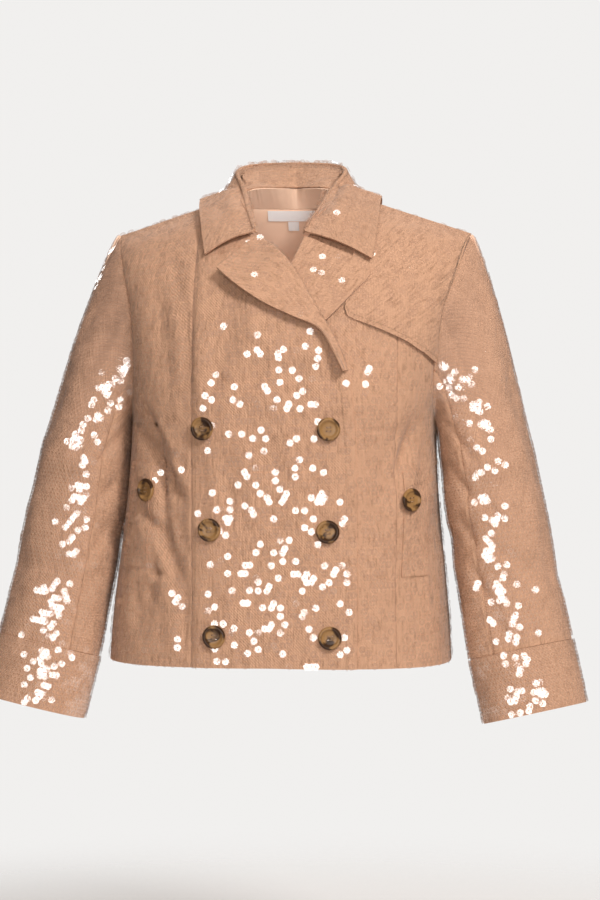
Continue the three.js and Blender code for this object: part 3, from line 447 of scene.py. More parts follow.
def sleeveSurface(side, ring, station, lift):
    place = np.maximum(station, 0.02)
    alongRing = plainSleeve(side, ring + 1, place) - plainSleeve(side, ring - 1, place)
    alongStation = plainSleeve(side, ring, place + 0.015) - plainSleeve(side, ring, place - 0.015)
    normal = unit(np.cross(alongRing, alongStation)) * side
    point = plainSleeve(side, ring, station)
    trough = np.zeros(ring.shape)
    for index in range(len(sleeveFolds["angle"])):
        fold = {name: values[index] for name, values in sleeveFolds.items()}
        turn = np.mod(ring - fold["angle"] + 540, 360) - 180
        near = (turn / fold["angleWidth"]) ** 2 + ((station - fold["station"]) / fold["width"]) ** 2
        trough += fold["depth"] * np.exp(-near)
    mirrored = 1 if side > 0 else 0.94      # the two sleeves don't crease quite alike
    shift = 0 if side > 0 else 9
    names = ("fromAngle", "fromZ", "toAngle", "toZ")
    trough += mirrored * creaseDepth(sleeveCreases, names, np.mod(ring, 360) * mirrored, point[..., 2] + shift)
    trough *= smooth(0, 0.4, station) * smooth(6.0, 5.3, station)
    return point + normal * (lift - trough)[..., None]


def sleeveGrid(side, firstRing, lastRing, stations, columns, lift, closed=False):
    if closed:
        rings = np.linspace(firstRing, lastRing, columns + 1)[:-1]
    else:
        rings = mix(firstRing + 0.18, lastRing - 0.18, edgeShares(columns))
    ring, station = np.meshgrid(rings, stations)
    out = np.full(ring.shape, float(lift))
    if not closed:
        out -= seamRoll(np.radians(np.minimum(ring - firstRing, lastRing - ring)) * 52)
    seen = sleeveSurface(side, ring, station, out)
    hidden = sleeveSurface(side, ring, station, out - cloth["thickness"])
    if stations[0] == 0:
        away = armholeWays(side, ring[0])[1]
        point, normal = armholeAt(side, ring[0])
        seen[0] = point + away * 1.5 * cloth["seamGap"]
        hidden[0] = seen[0] - normal * cloth["thickness"]
    return seen, hidden


def sleeveGrids():
    grids = {}
    cuff = sleeves["cuffStation"]
    turn = sleeves["seamTurn"]
    stations = np.concatenate([np.linspace(0, 1, 61) ** 1.15, np.linspace(1, cuff - 0.012, 84)[1:]])
    for side, word in ((-1, "left"), (1, "right")):
        grids[f"upper_sleeve_{word}"] = sleeveGrid(side, -turn, turn, stations, 72, 0)
        grids[f"under_sleeve_{word}"] = sleeveGrid(side, turn, 360 - turn, stations, 36, 0)
        grids[f"cuff_{word}"] = sleeveGrid(
            side, 0, 360, np.linspace(cuff, cuff + 1, 20), 110, sleeves["cuffLift"], closed=True)
    return grids


# Normals of a grid of points
def gridNormals(seen, closed=False):
    rows = np.gradient(seen, axis=0)
    if closed:
        columns = np.roll(seen, -1, axis=1) - np.roll(seen, 1, axis=1)
    else:
        columns = np.gradient(seen, axis=1)
    return unit(np.cross(rows, columns))


# Smooth line through a few points, sampled at many shares; one line for each station at once
def throughPoints(points, shares):
    count = points.shape[1]
    place = np.asarray(shares) * (count - 1)
    row = np.clip(np.floor(place).astype(int), 0, count - 2)
    part = (place - row)[None, :, None]
    padded = np.concatenate([2 * points[:, :1] - points[:, 1:2], points, 2 * points[:, -1:]
                             - points[:, -2:-1]], 1)
    before, start, end, after = [padded[:, row + step] for step in range(4)]
    return 0.5 * (2 * start + (end - before) * part + (2 * before - 5 * start + 4 * end - after) * part ** 2
                  + (3 * start - before - 3 * end + after) * part ** 3)


collar = {"lift": 9.2, "stations": 150, "places": 46}


# Height of the body's upper side over a place seen from above
def surfaceHeight(x, y):
    back = y >= torsoRows["depthY"][-1]
    low, high = np.full(x.shape, body["underarm"]), np.full(x.shape, body["shoulder"])
    power = body["roundness"]

    def shareAt(level):
        away = np.abs(x - columnAt(torsoRows, "centre", level))
        return np.minimum(away / columnAt(torsoRows, "half", level), 0.999)

    for _ in range(26):
        level = (low + high) / 2
        deep = np.where(back, columnAt(torsoRows, "back", level), columnAt(torsoRows, "front", level))
        deep = deep * (1 - shareAt(level) ** power) ** (1 / power)
        way = np.where(back, 1, -1)
        outside = way * (columnAt(torsoRows, "depthY", level) + way * deep - y) > 0
        low, high = np.where(outside, level, low), np.where(outside, high, level)
    return mix(columnAt(torsoRows, "middleZ", low), columnAt(torsoRows, "sideZ", low), shareAt(low))


# Points near the shoulder seam at collar rows, blended between the front and the back
def shoulderPoint(row, xName, zName, lift):
    x, z = columnAt(collarRows, xName, row), columnAt(collarRows, zName, row)
    toBack = smooth(2, 3, np.minimum(row, len(collarRows["seamX"]) - 1 - row))[:, None]
    lifts = np.full(x.shape, float(lift))
    return mix(panelPoint("front", x, z, lifts), panelPoint("back", x, z, lifts), toBack)


# Foot of the collar's stand at collar rows, with the roll above it and the way out from the neck
def collarFoot(row):
    roll = np.stack([columnAt(collarRows, name, row) for name in ("rollX", "rollY", "rollZ")], -1)
    out = roll - np.array([-3.0, 5.0, 0.0])
    out[:, 2] = 0
    out = unit(out)
    return shoulderPoint(row, "seamX", "seamZ", 0) + np.array([0, 0, 4.2]) - out * 2.5, roll, out


def collarGrid():
    row = np.linspace(0, len(collarRows["seamX"]) - 1, collar["stations"] + 1)
    up = np.array([0.0, 0.0, 1.0])
    foot, roll, out = collarFoot(row)
    over = [roll + out * step - up * down for step, down in ((-3.6, 4), (-2.4, 1), (0, 0), (2.4, 1), (4, 4))]
    profile = [foot, mix(foot, over[0], 0.5), *over]
    edge = shoulderPoint(row, "edgeX", "edgeZ", collar["lift"])
    bulge = columnAt(collarRows, "bulge", row)
    for share in (0.25, 0.5, 0.75, 1):
        stand = (bulge * math.sin(math.pi * share))[:, None]
        point = mix(over[-1], edge, share) + out * stand * 0.5 + up * stand * 0.8
        point[:, 2] = np.maximum(point[:, 2], surfaceHeight(point[:, 0], point[:, 1]) + collar["lift"] * 1.3)
        profile.append(point)
    seen = throughPoints(np.stack(profile, 1), np.linspace(0, 1, collar["places"]))
    return seen, seen - gridNormals(seen) * cloth["turnedThickness"]


def lapelGrid(rows, turn, underLift, edgeLift):
    across = [(1.2, 0, 0.4), (3, 0, 2.4), (1.6, 0, 4.4), (0, 0.12, 4.8), (0, 0.4, 4.8),
              (0, 0.7, 4.8), (0, 1, 4.8)]
    row = np.linspace(0, len(rows["rollX"]) - 1, 64)
    rollX, rollZ, edgeX, edgeZ = [columnAt(rows, name, row) for name in ("rollX", "rollZ", "edgeX", "edgeZ")]
    places = []
    for out, share, rise in across:
        x, z = mix(rollX, edgeX, share) + turn * out, mix(rollZ, edgeZ, share)
        height = mix(underLift(rollX, rollZ) + rise, edgeLift, share ** 1.5)
        clear = underLift(x, z) + cloth["thickness"] + cloth["restGap"] if share > 0 else np.zeros(x.shape)
        places.append(panelPoint("front", x, z, np.maximum(height, clear)))
    seen = throughPoints(np.stack(places, 1), np.linspace(0, 1, 44))
    return seen, seen + gridNormals(seen) * cloth["turnedThickness"] * turn


def flapGrid():
    share, along = np.meshgrid(np.linspace(0, 1, 44), np.linspace(0, 1, 52), indexing="ij")
    x = mix(68, 162, along ** 1.1)
    lowLevel = levelFor(x, lookUp(flapEdge, "x", x, "z"))
    level = mix(lowLevel, body["shoulder"] - 0.06, share)
    topAngle = mix(angleForX(np.full(x.shape, 72.0), level), armholeAngle(level) - 2, along)
    angle = np.minimum(mix(angleForX(x, lowLevel), topAngle, share), armholeAngle(level) - 1)
    lift = cloth["restGap"] + cloth["thickness"] + 1.6 * smooth(0.4, 0, share) * smooth(84, 104, x)
    return torso("front", angle, level, lift), torso("front", angle, level, lift - cloth["turnedThickness"])


welts = {"width": 34.0, "length": 112.0, "innerX": 138.0, "topLeft": -258.0, "topRight": -266.0,
         "visibleLift": 1.5}


def weltGrid(side):
    top = welts["topLeft"] if side < 0 else welts["topRight"]
    z = top - welts["length"] * np.linspace(0, 1, 64)
    level = levelFor(np.zeros(z.shape), z)
    start = np.abs(angleForX(columnAt(torsoRows, "centre", level) + welts["innerX"], level))
    turn = np.degrees(welts["width"] / 130)
    angle = side * (start[:, None] + turn * np.linspace(0, 1, 18))
    level = np.broadcast_to(level[:, None], angle.shape)
    lift = np.full(angle.shape, welts["visibleLift"])
    return torso("front", angle, level, lift), torso("front", angle, level, lift - welts["visibleLift"] * 0.7)


satin = {"half": 60.0, "seamZ": 18.4, "meetsZ": -50.0, "bottomZ": -120.0, "setBack": 6.0, "shape": 1.15,
         "seamY": 46.0, "seamBend": 28.0, "reach": 1.75, "drop": 2.2, "gathers": 8, "gatherDepth": 1.0}


# Seen face of the lining below the seam; it hangs free of the back down to meetsZ
def liningPoint(across, z):
    across, z = np.broadcast_arrays(np.asarray(across, float), np.asarray(z, float))
    x = satin["half"] * across
    lift = np.full(x.shape, -satin["setBack"])
    meets = panelPoint("back", x, np.full(x.shape, satin["meetsZ"]), lift)
    share = np.clip((satin["seamZ"] - z) / (satin["seamZ"] - satin["meetsZ"]), 0, 1) ** satin["shape"]
    seamY = satin["seamY"] - satin["seamBend"] * across ** 2
    drop = share * (meets[..., 2] - satin["meetsZ"])
    hanging = np.stack([mix(x, meets[..., 0], share), mix(seamY, meets[..., 1], share), z + drop], -1)
    return np.where((z > satin["meetsZ"])[..., None], hanging, panelPoint("back", x, z, lift))


def facingGrid():
    across = np.linspace(-1, 1, 241)
    foot, _, out = collarFoot((len(collarRows["seamX"]) - 1) / 2 + satin["reach"] * across)
    top = foot - out * cloth["liningThickness"] - np.array([0, 0, satin["drop"]])
    low = liningPoint(across, satin["seamZ"])
    share = np.linspace(0, 1, 18)[:, None, None]
    seen = mix(low, top, share)
    turn = across * satin["gathers"] * math.pi + 0.9 * np.sin(across * 9) + 0.5 * np.sin(across * 23 + 1)
    fold = np.sin(turn) * 0.6 + np.sin(turn * 2.3 + 1) * 0.4
    seen[..., 1] += satin["gatherDepth"] * (0.5 + 0.5 * fold) * (0.12 + 0.88 * share[..., 0])
    return seen, seen + gridNormals(seen) * cloth["liningThickness"]


def backLiningGrid():
    z = np.concatenate([np.linspace(satin["bottomZ"], satin["meetsZ"], 16)[:-1],
                        np.linspace(satin["meetsZ"], satin["seamZ"] - 2 * cloth["seamGap"], 34)])
    seen = liningPoint(np.linspace(-1, 1, 97), z[:, None])
    return seen, seen + gridNormals(seen) * cloth["liningThickness"]


def labelGrid(centreX, width, topZ, bottomZ):
    x = centreX + width * np.linspace(-0.5, 0.5, 30)
    hidden = liningPoint(x / satin["half"], np.linspace(bottomZ, topZ, 14)[:, None]) - np.array([0, 0.6, 0])
    return hidden - np.array([0, 0.6, 0]), hidden


def addObject(name, data):
    thing = bpy.data.objects.new(name, data)
    bpy.context.scene.collection.objects.link(thing)
    return thing


# Places along and across the threads, in metres, that stay true where the rows of a grid slide sideways
def threadPlaces(seen):
    rows, columns = seen.shape[:2]
    across, along = np.diff(seen, axis=1), np.diff(seen, axis=0)
    rowWay = unit(np.concatenate([across, across[:, -1:]], 1))
    slide = np.sum(along * rowWay[:-1], -1)
    rise = np.sqrt(np.maximum(np.sum(along ** 2, -1) - slide ** 2, 0))
    rowStart = np.concatenate([[0], slide[:, 0].cumsum()])
    acrossLength = np.linalg.norm(across, axis=-1).cumsum(1)
    u = (np.concatenate([np.zeros((rows, 1)), acrossLength], 1) + rowStart[:, None]) * mm
    v = np.concatenate([np.zeros((1, columns)), rise.cumsum(0)], 0) * mm
    return np.stack([u, v], -1).reshape(-1, 2)


# Closed wall from two grids of points, with a UV map in metres of cloth
def wallMesh(name, seen, hidden, seenMaterial, hiddenMaterial, closed=False):
    rows, columns = seen.shape[:2]
    points = np.concatenate([seen.reshape(-1, 3), hidden.reshape(-1, 3)]) * mm
    count = rows * columns
    lastColumn = columns if closed else columns - 1
    r, c = np.meshgrid(np.arange(rows - 1), np.arange(lastColumn), indexing="ij")
    nextColumn = (c + 1) % columns
    a, b = r * columns + c, r * columns + nextColumn
    d, e = (r + 1) * columns + c, (r + 1) * columns + nextColumn
    outer = np.stack([a, b, e, d], -1).reshape(-1, 4)
    inner = np.stack([a, d, e, b], -1).reshape(-1, 4) + count
    sides = []
    for index in range(lastColumn):
        after = (index + 1) % columns
        sides.append((count + index, count + after, after, index))
        high = (rows - 1) * columns
        sides.append((high + index, high + after, count + high + after, count + high + index))
    if not closed:
        for index in range(rows - 1):
            here, above = index * columns, (index + 1) * columns
            sides.append((here, above, count + above, count + here))
            edge, edgeAbove = here + columns - 1, above + columns - 1
            sides.append((count + edge, count + edgeAbove, edgeAbove, edge))
    faces = np.concatenate([outer, inner, np.array(sides)])
    p = points[faces]
    volume = np.sum(p[:, 0] * np.cross(p[:, 1], p[:, 2])) + np.sum(p[:, 0] * np.cross(p[:, 2], p[:, 3]))
    if volume < 0:
        faces = faces[:, ::-1]
    mesh = bpy.data.meshes.new(name)
    mesh.from_pydata(points.tolist(), [], faces.tolist())
    mesh.materials.append(seenMaterial)
    mesh.materials.append(hiddenMaterial)
    material = np.zeros(len(faces), np.int32)
    material[len(outer):len(outer) + len(inner)] = 1
    mesh.polygons.foreach_set("material_index", material)
    uv = np.tile(threadPlaces(seen), (2, 1))
    loops = np.zeros(len(mesh.loops), np.int32)
    mesh.loops.foreach_get("vertex_index", loops)
    mesh.uv_layers.new(name="cut").data.foreach_set("uv", uv[loops].ravel())
    mesh.validate()
    mesh.shade_smooth()
    mesh.set_sharp_from_angle(angle=math.radians(50))
    return addObject(name, mesh)


# Shader groups and materials
def shaderGroup(name, inputs, outputs):
    group = bpy.data.node_groups.new(name, "ShaderNodeTree")
    for label, kind, value in inputs:
        socket = group.interface.new_socket(name=label, in_out="INPUT", socket_type=kind)
        if value is not None:
            socket.default_value = value
    for label, kind in outputs:
        group.interface.new_socket(name=label, in_out="OUTPUT", socket_type=kind)
    return group, group.nodes.new("NodeGroupInput"), group.nodes.new("NodeGroupOutput")


# Sets the values of a node's sockets; a line stands for each space in a socket's name
def setInputs(node, **values):
    for name, value in values.items():
        node.inputs[name.replace("_", " ")].default_value = value


# A new node with its links; a value sets the property of that name, or else the socket
def addNode(tree, kind, links=(), **values):
    node = tree.nodes.new(kind)
    for name, value in values.items():
        if name in node.bl_rna.properties:
            setattr(node, name, value)
        else:
            setInputs(node, **{name: value})
    for socket, source in links:
        tree.links.new(source, node.inputs[socket])
    return node


def mathNode(tree, operation, first, second=None):
    node = addNode(tree, "ShaderNodeMath", operation=operation)
    for place, value in enumerate((first, second)):
        if isinstance(value, (int, float)):
            node.inputs[place].default_value = value
        elif value is not None:
            tree.links.new(value, node.inputs[place])
    return node.outputs[0]


def vectorNode(tree, operation, first, second):
    node = addNode(tree, "ShaderNodeVectorMath", [(0, first)], operation=operation)
    if isinstance(second, tuple):
        node.inputs[1].default_value = second
    else:
        tree.links.new(second, node.inputs["Scale" if operation == "SCALE" else 1])
    return node.outputs[0]


def bumpNode(tree, height, distance, strength, under=()):
    return addNode(tree, "ShaderNodeBump", [("Height", height), *under],
                   Distance=distance, Strength=strength).outputs["Normal"]


def cutPlace(tree):
    return addNode(tree, "ShaderNodeUVMap", uv_map="cut").outputs["UV"]


def objectPlace(tree):
    return tree.nodes.new("ShaderNodeTexCoord").outputs["Object"]


def attribute(tree, name):
    return addNode(tree, "ShaderNodeAttribute", attribute_name=name).outputs["Fac"]


def twillGroup():
    group, given, result = shaderGroup(
        "twillWeave", [("Vector", "NodeSocketVector", None), ("Threads per metre", "NodeSocketFloat", 900.0)],
        [("Height", "NodeSocketFloat"), ("Shade", "NodeSocketFloat")])
    split = addNode(group, "ShaderNodeSeparateXYZ", [(0, given.outputs["Vector"])])
    pitch = mathNode(group, "MULTIPLY", given.outputs["Threads per metre"], math.pi)
    u = mathNode(group, "MULTIPLY", split.outputs["X"], pitch)
    v = mathNode(group, "MULTIPLY", split.outputs["Y"], pitch)
    warp = mathNode(group, "ABSOLUTE", mathNode(group, "SINE", u))
    diagonal = mathNode(group, "SINE", mathNode(group, "ADD", u, v))
    height = mathNode(group, "ADD", mathNode(group, "MULTIPLY", warp, 0.4),
                      mathNode(group, "MULTIPLY", diagonal, 0.3))
    group.links.new(height, result.inputs["Height"])
    group.links.new(mathNode(group, "ADD", mathNode(group, "MULTIPLY", height, 0.5), 0.5),
                    result.inputs["Shade"])
    return group


def toneGroup():
    group, given, result = shaderGroup(
        "softTone", [("Vector", "NodeSocketVector", None), ("Patch size", "NodeSocketFloat", 0.03),
                     ("Strength", "NodeSocketFloat", 0.2)], [("Tone", "NodeSocketFloat")])
    scale = mathNode(group, "DIVIDE", 1.0, given.outputs["Patch size"])
    noise = addNode(group, "ShaderNodeTexNoise", [("Vector", given.outputs["Vector"]), ("Scale", scale)],
                    Detail=3)
    centred = mathNode(group, "SUBTRACT", noise.outputs["Fac"], 0.5)
    tone = mathNode(group, "MULTIPLY_ADD", centred, given.outputs["Strength"])
    group.links.new(tone, result.inputs["Tone"])
    return group


def newMaterial(name):
    material = bpy.data.materials.new(name)
    material.use_nodes = True
    tree = material.node_tree
    return material, tree, tree.nodes["Principled BSDF"]


def useGroup(tree, group, **values):
    node = tree.nodes.new("ShaderNodeGroup")
    node.node_tree = group
    for name, value in values.items():
        label = name.replace("_", " ")
        if isinstance(value, bpy.types.NodeSocket):
            tree.links.new(value, node.inputs[label])
        else:
            node.inputs[label].default_value = value
    return node


def colourMix(tree, fac, first, second, blend="MIX"):
    node = addNode(tree, "ShaderNodeMix", data_type="RGBA", blend_type=blend)
    for place, value in ((0, fac), (6, first), (7, second)):
        if isinstance(value, bpy.types.NodeSocket):
            tree.links.new(value, node.inputs[place])
        else:
            node.inputs[place].default_value = (*value, 1) if isinstance(value, tuple) else value
    return node.outputs[2]


# Sequins
sequins = {"diameter": 8.0, "hole": 1.3, "pitch": 4.6, "rowPitch": 4.5, "lift": 1.2, "inset": 3.0,
           "topLift": 0.6, "patchSize": 0.02, "seed": 7}
# How much sequins tilt in patches and singly, in degrees, and the share of them that is polished
tilts = {"body": (19, 10, 0.27), "sleeve": (24, 12, 1.0), "collar": (24, 14, 0.4)}

looks = {
    "clothDark": (0.20, 0.091, 0.045), "clothLight": (0.60, 0.342, 0.214),
    "sequinDark": (0.60, 0.33, 0.206), "sequinLight": (0.72, 0.41, 0.262),
    "satin": (0.95, 0.65, 0.47), "satinDeep": (0.82, 0.51, 0.35),
    "amber": (0.34, 0.18, 0.066), "horn": (0.05, 0.022, 0.009), "thread": (0.42, 0.26, 0.16),
    "label": (0.98, 0.96, 0.95),
}
twill, softTone = twillGroup(), toneGroup()


# Slubby cloth: long vertical threads, short crossing ones and larger soft patches
def grainGroup():
    group, given, result = shaderGroup(
        "slubGrain", [("Vector", "NodeSocketVector", None), ("Threads per metre", "NodeSocketFloat", 430.0)],
        [("Grain", "NodeSocketFloat")])
    grains = []
    for stretch, finer, weight in (((1, 0.22, 1), 0.8, 1.7), ((0.4, 1, 1), 1.2, 0.75), ((1, 1, 1), 1.7, 0.8)):
        stretched = vectorNode(group, "MULTIPLY", given.outputs["Vector"], stretch)
        scale = mathNode(group, "MULTIPLY", given.outputs["Threads per metre"], finer)
        noise = addNode(group, "ShaderNodeTexNoise", [("Vector", stretched), ("Scale", scale)], Detail=1.5)
        grains.append(mathNode(group, "MULTIPLY", mathNode(group, "SUBTRACT", noise.outputs["Fac"], 0.5),
                               weight))
    both = mathNode(group, "ADD", grains[0], grains[1])
    group.links.new(mathNode(group, "ADD", both, grains[2]), result.inputs["Grain"])
    return group


grain = grainGroup()


def clothMaterial():
    material, tree, shader = newMaterial("tan_cloth")
    uv = cutPlace(tree)
    weave = useGroup(tree, twill, Vector=uv, Threads_per_metre=620.0)
    slub = useGroup(tree, grain, Vector=uv, Threads_per_metre=430.0)
    tone = useGroup(tree, softTone, Vector=objectPlace(tree), Patch_size=0.02, Strength=0.7)
    share = mathNode(tree, "ADD", mathNode(tree, "MULTIPLY", weave.outputs["Shade"], 0.34), 0.29)
    share = mathNode(tree, "ADD", share, mathNode(tree, "ADD", slub.outputs["Grain"], tone.outputs["Tone"]))
    tree.links.new(colourMix(tree, share, looks["clothDark"], looks["clothLight"]), shader.inputs["Base Color"])
    height = mathNode(tree, "ADD", weave.outputs["Height"],
                      mathNode(tree, "MULTIPLY", slub.outputs["Grain"], 1.5))
    threads = bumpNode(tree, height, 0.0004, 0.7)
    waves = addNode(tree, "ShaderNodeTexNoise", [("Vector", vectorNode(tree, "MULTIPLY", uv, (1, 0.35, 1)))],
                    Scale=55, Detail=5, Roughness=0.6)
    ripples = bumpNode(tree, waves.outputs["Fac"], 0.006, 0.8, [("Normal", threads)])
    tree.links.new(ripples, shader.inputs["Normal"])
    setInputs(shader, Roughness=0.7, Specular_IOR_Level=0.15, Sheen_Weight=0.2)
    return material


# Clear discs, seen only by the camera: nearly unseen, except where a polished one mirrors a light
def sequinMaterial():
    material, tree, shader = newMaterial("clear_sequins")
    tone, polished = attribute(tree, "sequinTone"), attribute(tree, "sequinPolish")
    tree.links.new(colourMix(tree, tone, looks["sequinDark"], looks["sequinLight"]),
                   shader.inputs["Base Color"])
    tree.links.new(polished, shader.inputs["Coat Weight"])
    path = tree.nodes.new("ShaderNodeLightPath")
    solid = mathNode(tree, "ADD", mathNode(tree, "MULTIPLY", polished, 0.28), 0.02)
    tree.links.new(mathNode(tree, "MULTIPLY", path.outputs["Is Camera Ray"], solid), shader.inputs["Alpha"])
    setInputs(shader, Roughness=0.5, Specular_IOR_Level=0.2, Coat_Roughness=0.04, Coat_IOR=3.0)
    return material


def satinMaterial():
    material, tree, shader = newMaterial("peach_satin")
    tone = useGroup(tree, softTone, Vector=objectPlace(tree), Patch_size=0.018, Strength=0.7)
    weave = useGroup(tree, twill, Vector=cutPlace(tree), Threads_per_metre=1600.0)
    share = mathNode(tree, "ADD", tone.outputs["Tone"], 0.6)
    tree.links.new(colourMix(tree, share, looks["satinDeep"], looks["satin"]), shader.inputs["Base Color"])
    tree.links.new(bumpNode(tree, weave.outputs["Height"], 0.0001, 0.4), shader.inputs["Normal"])
    setInputs(shader, Roughness=0.65, Sheen_Weight=0.3, Anisotropic=0.1)
    return material


def hornMaterial():
    material, tree, shader = newMaterial("horn_button")
    place = objectPlace(tree)
    swirl = addNode(tree, "ShaderNodeTexNoise", [("Vector", place)], Scale=56, Detail=2, Distortion=1.4)
    # Painted shade: the rim attribute darkens two crescents of the rim
    rimShade = mathNode(tree, "MULTIPLY", attribute(tree, "hornRim"), 0.27)
    patches = addNode(tree, "ShaderNodeValToRGB", [
        ("Fac", mathNode(tree, "SUBTRACT", swirl.outputs["Fac"], rimShade))])
    for stop, position, name in zip(patches.color_ramp.elements, (0.35, 0.46), ("horn", "amber")):
        stop.position = position
        stop.color = (*looks[name], 1)
    fine = addNode(tree, "ShaderNodeTexNoise", [("Vector", place)], Scale=420)
    streak = colourMix(tree, fine.outputs["Fac"], (0.75, 0.75, 0.75), (1.25, 1.25, 1.25))
    mottled = colourMix(tree, 1, patches.outputs["Color"], streak, blend="MULTIPLY")
    tree.links.new(mottled, shader.inputs["Base Color"])
    setInputs(shader, Roughness=0.4, Specular_IOR_Level=0.3)
    return material


def threadMaterial():
    material, tree, shader = newMaterial("sewing_thread")
    tone = useGroup(tree, softTone, Vector=objectPlace(tree), Patch_size=0.002, Strength=0.8)
    share = mathNode(tree, "ADD", tone.outputs["Tone"], 0.6)
    dark = tuple(value * 0.7 for value in looks["thread"])
    tree.links.new(colourMix(tree, share, dark, looks["thread"]), shader.inputs["Base Color"])
    setInputs(shader, Roughness=0.55)
    return material


def labelMaterial():
    material, tree, shader = newMaterial("woven_label")
    weave = useGroup(tree, twill, Vector=cutPlace(tree), Threads_per_metre=1100.0)
    dark = tuple(value * 0.94 for value in looks["label"])
    tree.links.new(colourMix(tree, weave.outputs["Shade"], dark, looks["label"]), shader.inputs["Base Color"])
    tree.links.new(bumpNode(tree, weave.outputs["Height"], 0.0002, 1.0), shader.inputs["Normal"])
    setInputs(shader, Roughness=0.6)
    return material


clothLook, sequinLook, satinLook = clothMaterial(), sequinMaterial(), satinMaterial()
hornLook, labelLook, threadLook = hornMaterial(), labelMaterial(), threadMaterial()
print("materials ready")


# Points of a grid at fractional rows and columns
def sampleGrid(grid, r, c):
    rows, columns = grid.shape[:2]
    r0 = np.clip(np.floor(r).astype(int), 0, rows - 2)
    c0 = np.clip(np.floor(c).astype(int), 0, columns - 2)
    fr, fc = (r - r0)[:, None], (c - c0)[:, None]
    low = grid[r0, c0] * (1 - fc) + grid[r0, c0 + 1] * fc
    high = grid[r0 + 1, c0] * (1 - fc) + grid[r0 + 1, c0 + 1] * fc
    return low * (1 - fr) + high * fr


# Line on a grid at a distance inside its lower edge, or inside the edge where its rows start or end
def insetLine(grid, edge, distance):
    strips = np.swapaxes(grid, 0, 1) if edge == "lower" else grid[:, ::-1] if edge == "end" else grid
    line = []
    for strip in strips:
        along = np.concatenate([[0], np.cumsum(np.linalg.norm(np.diff(strip, axis=0), axis=1))])
        line.append([np.interp(distance, along, strip[:, axis]) for axis in range(3)])
    return np.array(line)


# Places for sequins in staggered rows over a grid; rows that run together are thinned out
def sequinPlaces(seen, flip=False, closed=False, keep=None):
    normals = gridNormals(seen, closed)
    if closed:
        seen = np.concatenate([seen, seen[:, :1]], 1)
        normals = np.concatenate([normals, normals[:, :1]], 1)
    if flip:
        normals = -normals
    steps = np.linalg.norm(np.diff(seen, axis=0), axis=-1)
    longest = steps.sum(0).argmax()
    along = np.concatenate([[0], steps[:, longest].cumsum()])
    inset = sequins["inset"]
    heights = np.arange(inset, along[-1] - inset, sequins["rowPitch"])
    rowPlaces = np.interp(heights, along, np.arange(len(along)))
    spots, ways = [], []
    for number, place in enumerate(rowPlaces):
        columns = np.arange(seen.shape[1], dtype=float)
        line = sampleGrid(seen, np.full(len(columns), place), columns)
        across = np.concatenate([[0], np.linalg.norm(np.diff(line, axis=0), axis=-1).cumsum()])
        margin = 0 if closed else inset
        room = across[-1] - 2 * margin
        if room <= 0:
            continue
        count = max(int(room / sequins["pitch"]), 1)
        offset = 0.5 if number % 2 else 0.0
        at = margin + (np.arange(count) + offset + 0.25) * room / count
        at = at[at <= across[-1] - margin]
        c = np.interp(at, across, columns)
        r = np.full(len(c), place)
        spot = sampleGrid(seen, r, c)
        local = np.linalg.norm(sampleGrid(seen, np.minimum(r + 1, len(seen) - 1), c) - spot, axis=-1)
        main = steps[min(int(place), len(steps) - 1), longest]
        every = np.maximum(np.round(main / np.maximum(local, 1e-6)), 1)
        kept = (number % every) == 0
        spots.append(spot[kept])
        ways.append(unit(sampleGrid(normals, r, c))[kept])
    spots, ways = np.concatenate(spots), np.concatenate(ways)
    if keep is not None:
        wanted = keep(spots)
        spots, ways = spots[wanted], ways[wanted]
    return spots + ways * sequins["lift"], ways


def ringPoints(radius, count, height=0.0):
    turns = [2 * math.pi * i / count for i in range(count)]
    return [(radius * math.cos(turn), radius * math.sin(turn), height) for turn in turns]


def sequinShape():
    mesh = bpy.data.meshes.new("one_sequin")
    outer, inner = 8, 4
    points = ringPoints(sequins["diameter"] / 2 * mm, outer) + ringPoints(sequins["hole"] / 2 * mm, inner)
    faces = []
    for i in range(inner):
        a, b, c = 2 * i, 2 * i + 1, (2 * i + 2) % outer
        h, k = outer + i, outer + (i + 1) % inner
        faces += [(a, b, h), (b, k, h), (b, c, k)]
    mesh.from_pydata(points, [], faces)
    return bpy.data.objects.new("one_sequin", mesh)


# Geometry Nodes tree with named inputs, of which the last is the material
def nodeTree(name, inputs):
    tree = bpy.data.node_groups.new(name, "GeometryNodeTree")
    for label, kind, value in (("Geometry", "Geometry", None), *inputs, ("Material", "Material", None)):
        socket = tree.interface.new_socket(name=label, in_out="INPUT", socket_type="NodeSocket" + kind)
        if value is not None:
            socket.default_value = value
    tree.interface.new_socket(name="Geometry", in_out="OUTPUT", socket_type="NodeSocketGeometry")
    return tree, tree.nodes.new("NodeGroupInput")


# Ends a tree: a real copy of the given object on every point
def placeCopies(tree, given, objectName, points, turn):
    shape = addNode(tree, "GeometryNodeObjectInfo", [("Object", given.outputs[objectName])])
    placed = addNode(tree, "GeometryNodeInstanceOnPoints", [
        ("Points", points), ("Instance", shape.outputs["Geometry"]), ("Rotation", turn)])
    realized = addNode(tree, "GeometryNodeRealizeInstances", [("Geometry", placed.outputs[0])])
    finished = addNode(tree, "GeometryNodeSetMaterial", [
        ("Geometry", realized.outputs[0]), ("Material", given.outputs["Material"])])
    tree.links.new(finished.outputs[0], tree.nodes.new("NodeGroupOutput").inputs[0])


def storeValue(tree, geometry, value, name):
    return addNode(tree, "GeometryNodeStoreNamedAttribute", [("Geometry", geometry), ("Value", value)],
                   data_type="FLOAT", domain="POINT", Name=name).outputs[0]


